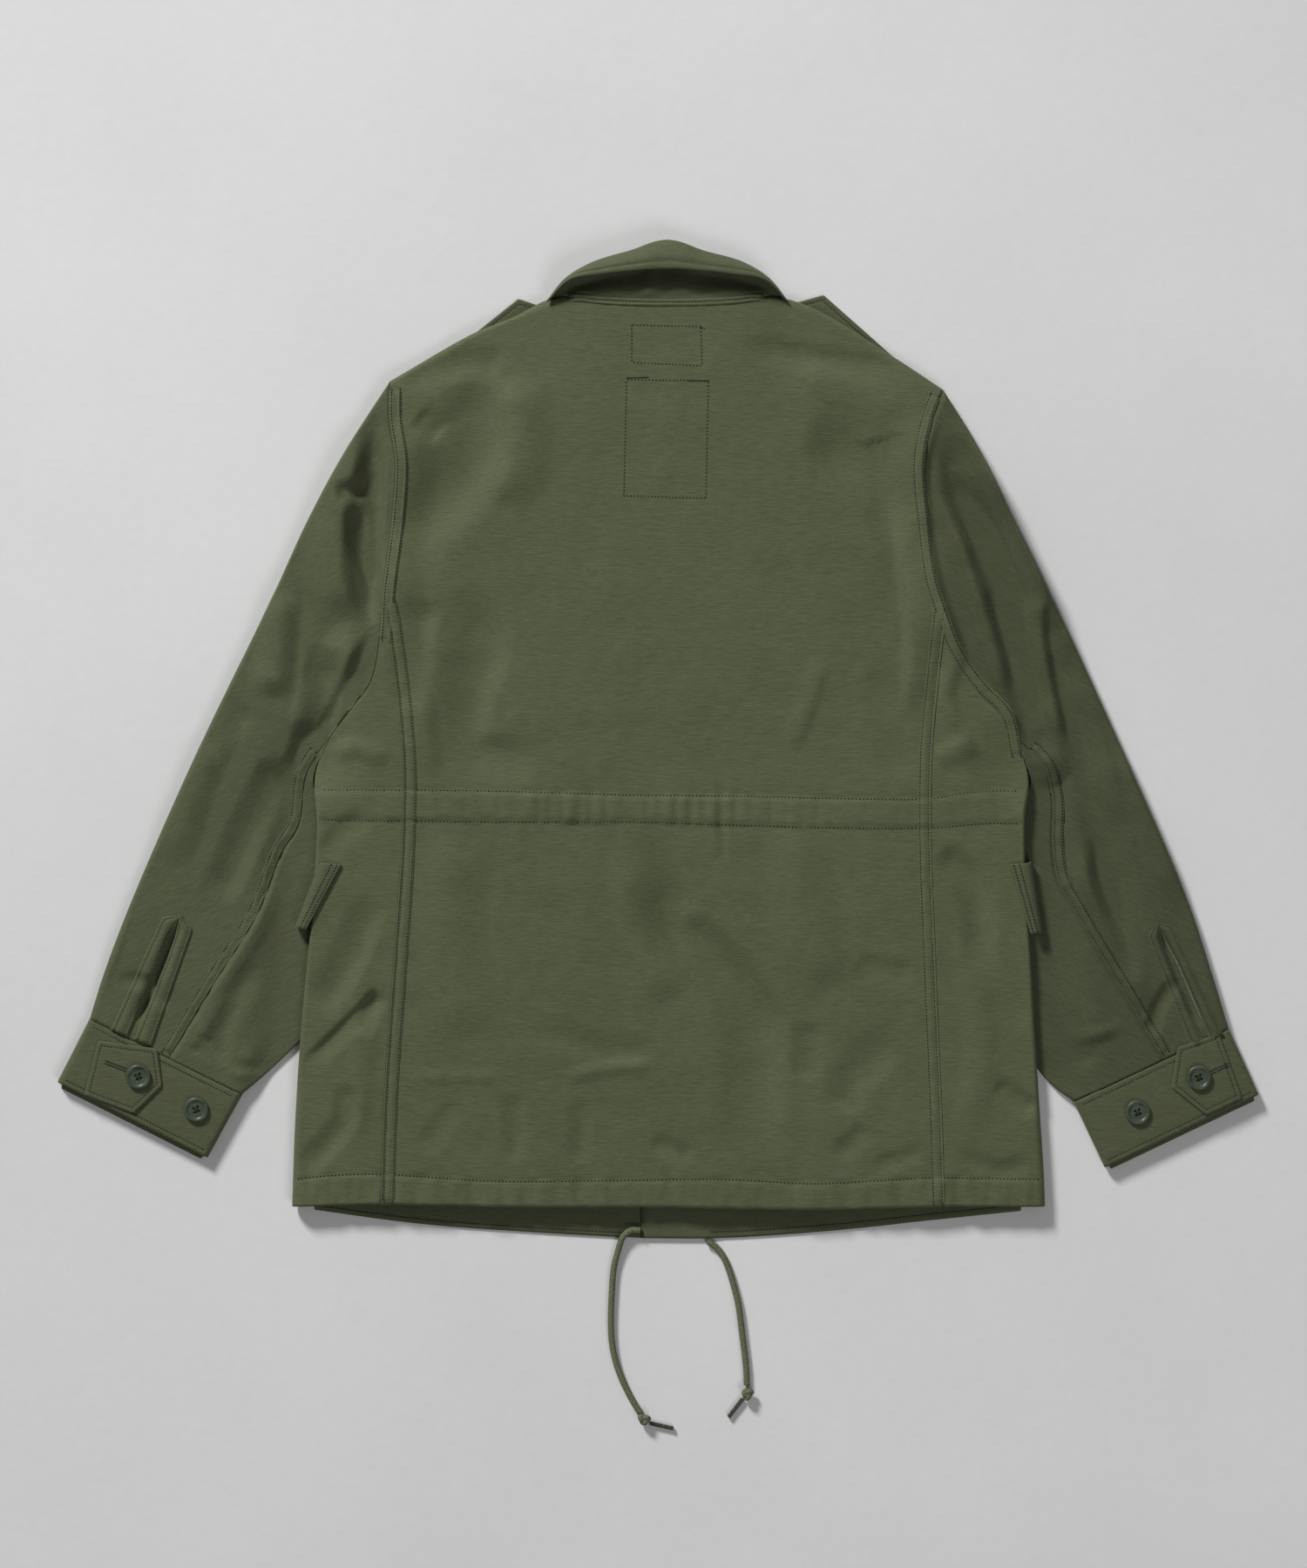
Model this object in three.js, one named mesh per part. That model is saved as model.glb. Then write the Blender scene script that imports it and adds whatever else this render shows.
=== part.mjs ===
// Field jacket of olive cotton sateen, laid flat and face down, collar towards +Y.
// Millimetres, +Z up. The origin is on the surface it lies on, under the middle of the jacket.
// Left and right are the wearer's: face down, the wearer's left is at -X.
import * as THREE from 'three';

// ---------- driving dimensions ----------
const CLOTH = 1.2;          // wall of one layer of cloth
const DOUBLED = 1.8;        // wall where cloth is doubled: tabs, loops, flaps, collar
const CUFF_WALL = 2.0;
const GAP = 0.3;            // clearance at every seam
const LOFT = 12.5;          // the back's height above the surface
const SHOULDER_DIP = 2;     // how much lower the back is along the shoulders
const UNDERARM_DIP = 4;     // and at each underarm point
const CUFF_HEIGHT = 9.6;
const TUCKED = 3.3;         // height of a sleeve where the body lies on it
const SIDE_WRAP = 12;       // how far a side panel goes on under the side fold
const STRAP_RISE = DOUBLED + GAP;   // the fronts lie on the loops, flaps and collar leaf
const SLEEVE_RISE = TUCKED + GAP;   // and the sides of the body on the tucked sleeves
const CUFF_STEP = 4;        // how much longer a cuff's lower layer is at the wrist
const LOOP = { width: 46, point: 15 };
const UNDERARM = { seam: 13, turn: 9 };   // where the sleeve seam and its turn meet the armhole, from its end
const BUTTON = { radius: 10, thickness: 3, rim: 2.2, dish: 0.9 };
const CORD = { radius: 2.5, sides: 8 };
const KNOT_RADIUS = 5.2;
const TIP = { radius: 1.7, sides: 12 };

const SLEEVE_ROWS = [0, 0.03, 0.06, 0.12, 0.2, 0.3, 0.41, 0.53, 0.65, 0.77, 0.88, 1];
const COUNTS = { armUpper: 7, armLower: 5, princess: 13, hem: 14, shoulder: 4, neck: 6, armFront: 6 };
const NOSE = [60, 30, 0, -30, -60];   // degrees round a fold, from the upper face to the lower

// ---------- seams and folds, [x, y] ----------
const SIDES = {
  left: {
    sign: -1,
    armhole: [[-214, 290], [-214, 259], [-209, 225], [-212, 179], [-219, 121], [-222, 82], [-229, 48],
      [-244, 27], [-263, 2], [-270, -12]],
    branch: 177,            // distance down the armhole to the princess seam
    princess: [[-219, 113], [-215, 90], [-204, -6], [-204, -76], [-210, -169], [-218, -284], [-221, -372]],
    side: [[-270, -12], [-271, -62], [-277, -140], [-286, -237], [-291, -314], [-293, -374]],
    outer: [[-214, 290], [-245, 242], [-280, 179], [-309, 116], [-365, 1], [-421, -125], [-445, -188],
      [-456, -223]],
    inner: [[-270, -12], [-275, -24], [-276, -38], [-262, -62], [-247, -95], [-237, -130], [-237, -165],
      [-252, -205], [-286, -241], [-319, -272], [-333, -284]],
    seam: [[-264, 3], [-282, -26], [-288, -66], [-302, -90], [-321, -139], [-356, -195], [-392, -255]],
    frontSeam: [[-222, 86], [-247, 57], [-278, 15], [-302, -60], [-386, -259]],
    seamEnds: [0.53, 0.58],     // where the two seams meet the cuff, from its outer end
    cuff: { outerTop: [-456, -223], innerTop: [-333, -284], outerEnd: [-482, -274], innerEnd: [-361, -335] },
    loop: { corner: [-111, 357], along: [-0.784, -0.621], length: 122 },
    flap: { top: [[-264, -96], [-110, -98]], bottom: [[-284, -148], [-112, -161]] },
    placket: { apex: [-381, -137], foot: [-418, -228], halfTop: 13, halfFoot: 18, slit: 5 },
    tab: [[-448.5, -240.5], [-401, -247], [-397, -277], [-420, -299], [-459.5, -284]],
    buttons: [{ at: [-415.8, -269.5], on: 'tab' }, { at: [-369.6, -296.1], on: 'cuff' }],
  },
  right: {
    sign: 1,
    armhole: [[231, 283], [222, 259], [215.5, 225], [219, 180], [225, 131], [233, 106], [244, 77],
      [264, 48], [286, 24], [295, -12]],
    branch: 172,
    princess: [[233, 106], [228, 60], [222, -6], [221, -76], [225, -188], [229, -284], [232, -374]],
    side: [[295, -12], [294, -64], [298, -123], [302, -188], [307, -272], [312, -346], [313, -374]],
    outer: [[231, 283], [256, 242], [288, 179], [319, 116], [372, 1], [427, -125], [448, -188],
      [461, -231]],
    inner: [[295, -12], [300, -24], [301, -38], [287, -62], [272, -95], [262, -130], [262, -165],
      [277, -212], [306, -262], [320, -278], [336, -290]],
    seam: [[289, 3], [311, -18], [319, -45], [319, -80], [323, -110], [341, -144], [380, -209], [408, -256]],
    frontSeam: [[240, 87], [275, 66], [308, 22], [328, -60], [396, -262]],
    seamEnds: [0.43, 0.55],
    cuff: { outerTop: [461, -231], innerTop: [336, -290], outerEnd: [485, -284], innerEnd: [361, -343] },
    loop: { corner: [135, 360], along: [0.749, -0.663], length: 118 },
    flap: { top: [[295, -96], [126, -98]], bottom: [[304, -152], [128, -162]] },
    placket: { apex: [401, -143], foot: [439, -231], halfTop: 10, halfFoot: 14, slit: 5 },
    tab: [[452.5, -234.5], [419, -246], [414, -278], [442, -300.5], [471, -287]],
    buttons: [{ at: [436, -270.2], on: 'tab' }, { at: [387.1, -298.2], on: 'cuff' }],
  },
};
const SHOULDER = {
  left: [[-214, 290], [-148, 328], [-114, 341], [-72, 358]],
  right: [[231, 283], [195, 307], [132, 346], [90, 358]],
};
const BACK_HEM = [[-221, -372], [-103, -374.5], [0, -374.5], [125, -376.5], [232, -374]];
const FRONT_HEM = {
  left: [[-281, -377], [-190, -389], [-103, -395.5], [-12, -400.3], [30, -400.4]],
  right: [[300, -378], [218, -386.5], [148, -394], [56, -400.3], [-12, -400.4]],
};
const CENTRE_FRONT = { left: 30, right: -12, neckY: 268 };   // the right front laps over the left
const FRONT_NECK = [{ inwards: 6, y: 325 }, { inwards: 40, y: 283 }];
const LAP = { from: 55, to: 35 };                            // where the right front steps up onto it

// The collar, one row for each station of the left half, from centre back round to centre front.
// seam: where it joins the neck; roll: the outermost point of its fold; edge: the leaf's free edge.
const COLLAR_CENTRE = 9;
const COLLAR_SHAPE = { lip: 0.55, lipRise: 1, foot: 0.6, footDip: 3, rows: 20, columns: 8 };
const COLLAR = [
  { seam: [0, 354.6, 11.9], roll: [0, 401.5, 16], edge: [0, 378, 25] },
  { seam: [-27, 355, 11.9], roll: [-30, 393, 16], edge: [-28, 376.5, 25] },
  { seam: [-54, 356.5, 11.5], roll: [-60, 384, 14], edge: [-55, 373.5, 24] },
  { seam: [-72, 358.5, 9], roll: [-82, 370.5, 10], edge: [-78, 369.5, 22] },
  { seam: [-80, 358, 6], roll: [-94, 356.5, 5.5], edge: [-96.5, 353, 13] },
];

// A sleeve is tucked under the body near the side line, and rises to its full height over a ramp.
const TUCK = { outside: 23, ramp: 37, topY: -40, topRamp: 28, bottomY: -262, bottomRamp: 40 };
const TAPER = 0.9;          // share of a sleeve over which it comes down to the cuff's height

// What the lowest layer passes over: rectangle, width of the ramp round it, and rise.
const SLEEVES_BELOW = [
  { x: [-400, -228], y: [-266, -40], ramp: 27, rise: SLEEVE_RISE },
  { x: [253, 420], y: [-286, -40], ramp: 27, rise: SLEEVE_RISE },
];
const STRAPS_BELOW = [
  { x: [-500, 500], y: [208, 500], ramp: 20, rise: STRAP_RISE },
  { x: [-320, -75], y: [-185, -70], ramp: 25, rise: STRAP_RISE },
  { x: [91, 340], y: [-187, -70], ramp: 25, rise: STRAP_RISE },
];

// The largest folds of the upper layer: route, half width, and height (a trough is negative).
const FOLDS = [
  { route: [[-149, 295], [-139, 260], [-146, 218], [-178, 182], [-198, 148]], half: 34, rise: -2.4 },
  { route: [[-156, 106], [-146, 50], [-135, 0], [-79, -20]], half: 32, rise: -2 },
  { route: [[155, 260], [149, 232], [180, 197], [208, 162], [194, 64]], half: 34, rise: -2.4 },
  { route: [[5, -104], [33, -160], [68, -216], [89, -244]], half: 36, rise: -2 },
  { route: [[-257, 64], [-268, 0], [-296, -62], [-330, -140]], half: 26, rise: -3 },
  { route: [[243, 218], [278, 134], [299, 64], [323, -13]], half: 26, rise: -3.6 },
  { route: [[305, 106], [323, 15], [327, -20], [318, -60]], half: 18, rise: 2 },
  { route: [[323, 78], [341, 1], [356, -41], [372, -134]], half: 22, rise: -3 },
];

// ---------- materials ----------
const fabric = (color) => new THREE.MeshStandardMaterial({ color, roughness: 0.85, metalness: 0 });
const OLIVE = 0x5a5e48;
const BUTTON_GREEN = 0x323b31;
const CORD_GREEN = 0x55593f;
const TIP_METAL = 0x42463a;

// ---------- heights ----------
const smooth = (t) => {
  const k = Math.min(Math.max(t, 0), 1);
  return k * k * (3 - 2 * k);
};
const mix = (a, b, t) => a + (b - a) * t;
const window1 = (v, [low, high], ramp) => smooth((v - low) / ramp + 1) * smooth((high - v) / ramp + 1);
const riseOver = (list, x, y) => list.reduce(
  (sum, one) => sum + one.rise * window1(x, one.x, one.ramp) * window1(y, one.y, one.ramp), 0);

/** Height of one fold at a point: full on its route, nothing at its half width, fading at its ends. */
function foldAt({ route, half, rise }, x, y) {
  let best = { distance: Infinity, along: 0 };
  for (let k = 0; k < route.length - 1; k += 1) {
    const [ax, ay] = route[k];
    const [bx, by] = route[k + 1];
    const squared = (bx - ax) ** 2 + (by - ay) ** 2;
    const t = Math.min(Math.max(((x - ax) * (bx - ax) + (y - ay) * (by - ay)) / squared, 0), 1);
    const distance = Math.hypot(x - mix(ax, bx, t), y - mix(ay, by, t));
    if (distance < best.distance) best = { distance, along: (k + t) / (route.length - 1) };
  }
  const q = Math.min(best.distance / half, 1);
  return rise * (1 - q * q) ** 2 * smooth(Math.min(best.along, 1 - best.along) / 0.25 + 0.15);
}

/** Outer face of the upper layer. */
function topHeight(x, y) {
  const shoulder = SHOULDER_DIP * smooth((y - 270) / 40) * smooth((Math.abs(x - 9) - 50) / 60);
  const underarm = [SIDES.left, SIDES.right].reduce((sum, { side: [[ux, uy]] }) => (
    sum + UNDERARM_DIP * (1 - smooth(Math.hypot(x - ux, y - uy) / 45))), 0);
  const folds = FOLDS.reduce((sum, fold) => sum + foldAt(fold, x, y), 0);
  return LOFT - shoulder - underarm + folds;
}
const bodyBase = (x, y) => riseOver(SLEEVES_BELOW, x, y) + riseOver(STRAPS_BELOW, x, y);
const sleeveBase = (x, y) => riseOver(STRAPS_BELOW.slice(0, 1), x, y);
const rightFrontBase = (x, y) => (
  bodyBase(x, y) + (CLOTH + GAP) * smooth((LAP.from - x) / (LAP.from - LAP.to)));

// ---------- curves and patches ----------
const curve = (points) => new THREE.CatmullRomCurve3(
  points.map(([x, y]) => new THREE.Vector3(x, y, 0)), false, 'centripetal');

/** Point at a distance along a curve, moved `shift` to the left of its direction. */
function pointAt(line, distance, shift = 0) {
  const u = Math.min(Math.max(distance / line.getLength(), 0), 1);
  const p = line.getPointAt(u);
  const t = line.getTangentAt(u);
  return new THREE.Vector2(p.x - t.y * shift, p.y + t.x * shift);
}
const steps = (from, to, count) => (
  Array.from({ length: count + 1 }, (_, k) => mix(from, to, k / count)));
const along = (line, distances, shift = 0) => distances.map((d) => pointAt(line, d, shift));
const fractions = (line, list, shift = 0) => list.map((f) => pointAt(line, f * line.getLength(), shift));
const unit = (from, to) => to.clone().sub(from).normalize();

/** Rows of points filling four edges; bottom and top run one way, left and right the other. */
function patch(bottom, top, left, right) {
  const nu = bottom.length - 1;
  const nv = left.length - 1;
  return left.map((leftPoint, j) => bottom.map((bottomPoint, i) => {
    const u = i / nu;
    const v = j / nv;
    const blend = (axis) => (1 - v) * bottomPoint[axis] + v * top[i][axis]
      + (1 - u) * leftPoint[axis] + u * right[j][axis]
      - (1 - u) * (1 - v) * bottom[0][axis] - u * (1 - v) * bottom[nu][axis]
      - (1 - u) * v * top[0][axis] - u * v * top[nu][axis];
    return new THREE.Vector2(blend('x'), blend('y'));
  }));
}
const upper = (p, height) => ({ at: [p.x, p.y, height], inward: [0, 0, -1] });
const lower = (p, height) => ({ at: [p.x, p.y, height], inward: [0, 0, 1] });

/** Points round a fold: tip is its outermost point and inside a unit vector into the cloth. */
function nose(tip, inside, low, high) {
  const radius = (high - low) / 2;
  return NOSE.map((degrees) => {
    const angle = THREE.MathUtils.degToRad(degrees);
    const reach = radius * (1 - Math.cos(angle));
    return {
      at: [tip.x + inside.x * reach, tip.y + inside.y * reach, low + radius + radius * Math.sin(angle)],
      inward: [inside.x * Math.cos(angle), inside.y * Math.cos(angle), -Math.sin(angle)],
    };
  });
}

/** A closed wall from rows of outer points, each with the direction to the inner face. */
function clothWall(rows, thickness, ring = false) {
  const width = rows[0].length;
  const outer = rows.flat();
  const count = outer.length;
  const position = [];
  for (const offset of [0, thickness]) {
    for (const { at, inward } of outer) {
      position.push(at[0] + inward[0] * offset, at[1] + inward[1] * offset, at[2] + inward[2] * offset);
    }
  }
  const index = [];
  const edges = new Map();
  const face = (a, b, c) => {
    index.push(a, b, c, a + count, c + count, b + count);
    for (const [from, to] of [[a, b], [b, c], [c, a]]) {
      if (!edges.delete(`${to}>${from}`)) edges.set(`${from}>${to}`, [from, to]);
    }
  };
  for (let r = 0; r < rows.length - 1; r += 1) {
    for (let c = 0; c < (ring ? width : width - 1); c += 1) {
      const d = (c + 1) % width;
      face(r * width + c, r * width + d, (r + 1) * width + d);
      face(r * width + c, (r + 1) * width + d, (r + 1) * width + c);
    }
  }
  for (const [from, to] of edges.values()) {
    index.push(to, from, from + count, to, from + count, to + count);
  }
  return closed(position, index);
}

/** Geometry from positions and triangles, turned so that its faces point out. */
function closed(position, index) {
  const at = (k) => new THREE.Vector3().fromArray(position, k * 3);
  let volume = 0;
  for (let k = 0; k < index.length; k += 3) {
    volume += at(index[k]).dot(at(index[k + 1]).cross(at(index[k + 2])));
  }
  const facing = volume > 0 ? index : index.slice().reverse();
  const geometry = new THREE.BufferGeometry();
  geometry.setAttribute('position', new THREE.Float32BufferAttribute(position, 3));
  geometry.setIndex(facing);
  geometry.computeVertexNormals();
  return geometry;
}

// ---------- body ----------
const jacket = new THREE.Group();
function add(name, geometry, color = OLIVE) {
  const mesh = new THREE.Mesh(geometry, fabric(color));
  mesh.name = name;
  jacket.add(mesh);
  return mesh;
}

/** The lines that one side's panels share. */
function sideLines(table) {
  const armhole = curve(table.armhole);
  const length = armhole.getLength();
  const shoulderTip = pointAt(armhole, 0);
  const underarmTip = pointAt(armhole, length);
  const shoulderRadius = (topHeight(shoulderTip.x, shoulderTip.y)
    - sleeveBase(shoulderTip.x, shoulderTip.y)) / 2;
  const underarmRadius = topHeight(underarmTip.x, underarmTip.y) / 2;
  const seamEnd = length - UNDERARM.seam;
  const frontEnd = length - underarmRadius - SIDE_WRAP;
  return {
    armhole,
    length,
    princess: curve(table.princess),
    side: curve(table.side),
    shoulderRadius,
    underarmRadius,
    upperPart: steps(shoulderRadius, table.branch, COUNTS.armUpper),
    lowerPart: [...steps(table.branch, seamEnd, COUNTS.armLower), length - underarmRadius],
    frontPart: steps(shoulderRadius, frontEnd, COUNTS.armFront),
    bodyShift: -table.sign * GAP / 2,
  };
}

/** Side panel of the back: rows from the armhole to the hem, from the princess seam round the fold. */
function backSide(table, lines) {
  const { armhole, princess, side, bodyShift } = lines;
  const princessEdge = fractions(princess, steps(0, 1, COUNTS.princess), -bodyShift);
  const tips = fractions(side, steps(0, 1, COUNTS.princess));
  tips[0] = pointAt(armhole, lines.length, bodyShift);
  const armEdge = along(armhole, lines.lowerPart, bodyShift);
  princessEdge[0] = armEdge[0].clone().add(new THREE.Vector2(table.sign * GAP / 2, 0));
  const inside = tips.map((tip, j) => unit(tip, j === 0 ? armEdge.at(-2) : princessEdge[j]));
  const radius = tips.map((tip) => (topHeight(tip.x, tip.y) - bodyBase(tip.x, tip.y)) / 2);
  const start = tips.map((tip, j) => tip.clone().addScaledVector(inside[j], radius[j]));
  const hemEdge = steps(0, 1, armEdge.length - 1).map((t) => (
    princessEdge.at(-1).clone().lerp(start.at(-1), t)));
  const top = patch(armEdge, hemEdge, princessEdge, start);
  const seam = [];
  const rows = top.map((row, j) => {
    const wrapped = [0, 0.5, 1].map((t) => (
      tips[j].clone().addScaledVector(inside[j], radius[j] + SIDE_WRAP * t)));
    seam.push(wrapped[2].clone().addScaledVector(inside[j], GAP));
    const low = bodyBase(tips[j].x, tips[j].y);
    const high = topHeight(tips[j].x, tips[j].y);
    return [
      ...row.map((p) => upper(p, topHeight(p.x, p.y))),
      ...nose(tips[j], inside[j], low, high),
      ...wrapped.map((p) => lower(p, bodyBase(p.x, p.y))),
    ];
  });
  return { rows, seam };
}

/** Rows that curl a panel's edge down or up round a shoulder, or run it out flat at the neck. */
function curlRows(startLine, tipLine, curls, heightOf, middle, flatFace) {
  return [30, 60, 90].map((degrees) => {
    const angle = THREE.MathUtils.degToRad(degrees);
    return startLine.map((start, i) => {
      const p = start.clone().lerp(tipLine[i], Math.sin(angle));
      if (!curls[i]) return flatFace(p, heightOf(p.x, p.y));
      const away = unit(start, tipLine[i]);
      const centre = middle(tipLine[i]);
      const facing = Math.sign(heightOf(start.x, start.y) - centre);
      const end = facing * GAP / 2;
      const high = heightOf(start.x, start.y);
      return {
        at: [p.x, p.y, centre + end + (high - centre - end) * Math.cos(angle)],
        inward: [-away.x * Math.sin(angle), -away.y * Math.sin(angle), -facing * Math.cos(angle)],
      };
    });
  });
}
const shoulderMiddle = (tip) => (topHeight(tip.x, tip.y) + sleeveBase(tip.x, tip.y)) / 2;

/** Inset of an outline by its own distance, for the line where a curl starts. */
const insetLine = (tips, distances) => tips.map((tip, i) => {
  const before = tips[Math.max(i - 1, 0)];
  const after = tips[Math.min(i + 1, tips.length - 1)];
  const t = unit(before, after);
  return new THREE.Vector2(tip.x + t.y * distances[i], tip.y - t.x * distances[i]);
});
const sampled = (points, count) => fractions(curve(points), steps(0, 1, count));
const collarSeam = COLLAR.map(({ seam: [x, y] }) => [x + COLLAR_CENTRE, y - 3 * GAP]);

function backCentre(left, right) {
  const neckLeft = collarSeam.map(([x, y]) => [x, y]).reverse();
  const neckRight = collarSeam.slice(1).map(([x, y]) => [2 * COLLAR_CENTRE - x, y]);
  const neck = sampled([...neckLeft, ...neckRight], COUNTS.neck);
  const shoulderLeft = sampled(SHOULDER.left, COUNTS.shoulder);
  const shoulderRight = sampled([...SHOULDER.right].reverse(), COUNTS.shoulder);
  const tips = [...shoulderLeft.slice(0, -1), ...neck, ...shoulderRight.slice(1)];
  tips[0] = pointAt(left.armhole, 0, left.bodyShift);
  tips[tips.length - 1] = pointAt(right.armhole, 0, right.bodyShift);
  const lastOfLeft = COUNTS.shoulder;
  const firstOfRight = COUNTS.shoulder + COUNTS.neck;
  const curls = tips.map((_, i) => i <= lastOfLeft || i >= firstOfRight);
  const distances = tips.map((tip) => topHeight(tip.x, tip.y) - shoulderMiddle(tip));
  const start = insetLine(tips, distances);
  start[0] = pointAt(left.armhole, left.shoulderRadius, left.bodyShift);
  start[start.length - 1] = pointAt(right.armhole, right.shoulderRadius, right.bodyShift);
  const edge = ({ armhole, princess, upperPart, bodyShift }) => [
    ...fractions(princess, steps(1, 0, COUNTS.princess), bodyShift).slice(0, -1),
    ...along(armhole, [...upperPart].reverse(), bodyShift),
  ];
  const leftEdge = edge(left);
  const rightEdge = edge(right);
  const hem = sampled(BACK_HEM, COUNTS.hem);
  hem[0] = leftEdge[0];
  hem[hem.length - 1] = rightEdge[0];
  const rows = patch(hem, start, leftEdge, rightEdge)
    .map((row) => row.map((p) => upper(p, topHeight(p.x, p.y))));
  return [...rows, ...curlRows(start, tips, curls, topHeight, shoulderMiddle, upper)];
}

/** One front, lying on the surface: rows from the hem to the shoulder, from the side inwards. */
function front(name, table, lines, sideSeam, baseOf) {
  const centreX = CENTRE_FRONT[name];
  const armEdge = along(lines.armhole, [...lines.frontPart].reverse(), lines.bodyShift);
  const outerEdge = [...[...sideSeam].reverse().slice(0, -1), sideSeam[0], ...armEdge.slice(1)];
  const shoulder = sampled(SHOULDER[name], COUNTS.shoulder);
  const neckPoint = shoulder.at(-1);
  const dip = FRONT_NECK.map(({ inwards, y }) => [neckPoint.x - table.sign * inwards, y]);
  const neck = sampled([[neckPoint.x, neckPoint.y], ...dip, [centreX, CENTRE_FRONT.neckY]], COUNTS.shoulder);
  const tips = [...shoulder, ...neck.slice(1)];
  tips[0] = pointAt(lines.armhole, 0, lines.bodyShift);
  const curls = tips.map((_, i) => i <= COUNTS.shoulder - 1);
  const distances = tips.map((tip) => (
    (shoulderMiddle(tip) - baseOf(tip.x, tip.y)) * -table.sign));
  const start = insetLine(tips, distances);
  start[0] = pointAt(lines.armhole, lines.shoulderRadius, lines.bodyShift);
  const inner = steps(FRONT_HEM[name].at(-1)[1], start.at(-1).y, outerEdge.length - 1)
    .map((y) => new THREE.Vector2(centreX, y));
  start[start.length - 1] = inner.at(-1);
  const hem = sampled(FRONT_HEM[name], tips.length - 1);
  hem[0] = outerEdge[0];
  const rows = patch(hem, start, outerEdge, inner)
    .map((row) => row.map((p) => lower(p, baseOf(p.x, p.y))));
  return [...rows, ...curlRows(start, tips, curls, baseOf, shoulderMiddle, lower)];
}

// ---------- sleeves ----------
/** Outer face of a sleeve's upper layer; v runs from the armhole, 0, to the cuff, 1. */
function sleeveHeight(table, side, x, y, v) {
  const full = mix(topHeight(x, y), CUFF_HEIGHT, smooth(v / TAPER));
  const firstY = table.side[0][1];
  const lastY = table.side.at(-1)[1];
  const t = Math.min(Math.max((firstY - y) / (firstY - lastY), 0), 1);
  const outside = (x - side.getPointAt(t).x) * table.sign;
  const clear = Math.max(
    smooth((outside - TUCK.outside) / TUCK.ramp),
    smooth((y - TUCK.topY) / TUCK.topRamp),
    smooth((TUCK.bottomY - y) / TUCK.bottomRamp));
  return mix(TUCKED, full, clear);
}

function sleeve(table, lines) {
  const { sign, cuff } = table;
  const sleeveShift = -lines.bodyShift;
  const outer = curve(table.outer);
  const inner = curve(table.inner);
  const seam = curve(table.seam);
  const frontSeam = curve(table.frontSeam);
  const heightAt = (p, v) => sleeveHeight(table, lines.side, p.x, p.y, v);
  const outerTips = fractions(outer, SLEEVE_ROWS);
  const innerTips = fractions(inner, SLEEVE_ROWS);
  outerTips[0] = pointAt(lines.armhole, 0, sleeveShift);
  innerTips[0] = pointAt(lines.armhole, lines.length, sleeveShift);
  const topEdge = along(lines.armhole, [...lines.upperPart, ...lines.lowerPart.slice(1, -1)], sleeveShift);
  const underEdge = along(lines.armhole,
    [lines.lowerPart.at(-2), lines.length - UNDERARM.turn, lines.length - lines.underarmRadius], sleeveShift);
  const seamTop = fractions(seam, SLEEVE_ROWS, sign * GAP / 2);
  const seamUnder = fractions(seam, SLEEVE_ROWS, -sign * GAP / 2);
  seamTop[0] = topEdge.at(-1);
  seamUnder[0] = underEdge[0];
  const frontTop = fractions(frontSeam, SLEEVE_ROWS, sign * GAP / 2);
  const frontUnder = fractions(frontSeam, SLEEVE_ROWS, -sign * GAP / 2);
  const joint = COUNTS.armFront - 2;
  const frontEdge = along(lines.armhole, [...lines.frontPart, lines.length - lines.underarmRadius],
    sleeveShift);
  frontTop[0] = frontEdge[joint];
  frontUnder[0] = frontEdge[joint];
  const cuffLine = curve([table.cuff.outerTop, table.cuff.innerTop]);
  [[seamTop, seamUnder, table.seamEnds[0]], [frontTop, frontUnder, table.seamEnds[1]]].forEach(
    ([topSide, underSide, t]) => {
      const end = t * cuffLine.getLength();
      topSide[topSide.length - 1] = pointAt(cuffLine, end - GAP / 2);
      underSide[underSide.length - 1] = pointAt(cuffLine, end + GAP / 2);
    });
  const outerInside = outerTips.map((tip, j) => unit(tip, j === 0 ? topEdge[0] : seamTop[j]));
  const innerInside = innerTips.map((tip, j) => unit(tip, j === 0 ? underEdge.at(-1) : seamUnder[j]));
  const radius = (tips) => tips.map((tip, j) => (
    heightAt(tip, SLEEVE_ROWS[j]) - sleeveBase(tip.x, tip.y)) / 2);
  const outerRadius = radius(outerTips);
  const innerRadius = radius(innerTips);
  const inset = (tips, inside, radii) => tips.map((tip, j) => (
    tip.clone().addScaledVector(inside[j], radii[j])));
  const outerStart = inset(outerTips, outerInside, outerRadius);
  const innerStart = inset(innerTips, innerInside, innerRadius);
  outerStart[0] = topEdge[0];
  innerStart[0] = underEdge.at(-1);
  const line = (from, to, count) => steps(0, 1, count).map((t) => from.clone().lerp(to, t));
  const quilt = (row0, left, right) => (
    patch(row0, line(left.at(-1), right.at(-1), row0.length - 1), left, right));
  const topUpper = quilt(topEdge, outerStart, seamTop);
  const underUpper = quilt(underEdge, seamUnder, innerStart);
  const topLower = quilt(frontEdge.slice(0, joint + 1), outerStart, frontTop);
  const underLower = quilt(frontEdge.slice(joint), frontUnder, innerStart);
  const face = (p, j) => upper(p, heightAt(p, SLEEVE_ROWS[j]));
  const base = (p) => lower(p, sleeveBase(p.x, p.y));
  const fold = (tips, inside, j) => nose(tips[j], inside[j], sleeveBase(tips[j].x, tips[j].y),
    heightAt(tips[j], SLEEVE_ROWS[j]));
  const top = SLEEVE_ROWS.map((_, j) => [
    ...topUpper[j].map((p) => face(p, j)).reverse(),
    ...fold(outerTips, outerInside, j),
    ...topLower[j].map(base),
  ]);
  const under = SLEEVE_ROWS.map((_, j) => [
    ...underUpper[j].map((p) => face(p, j)),
    ...fold(innerTips, innerInside, j),
    ...underLower[j].map(base).reverse(),
  ]);
  return { top, under, cuff };
}

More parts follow.
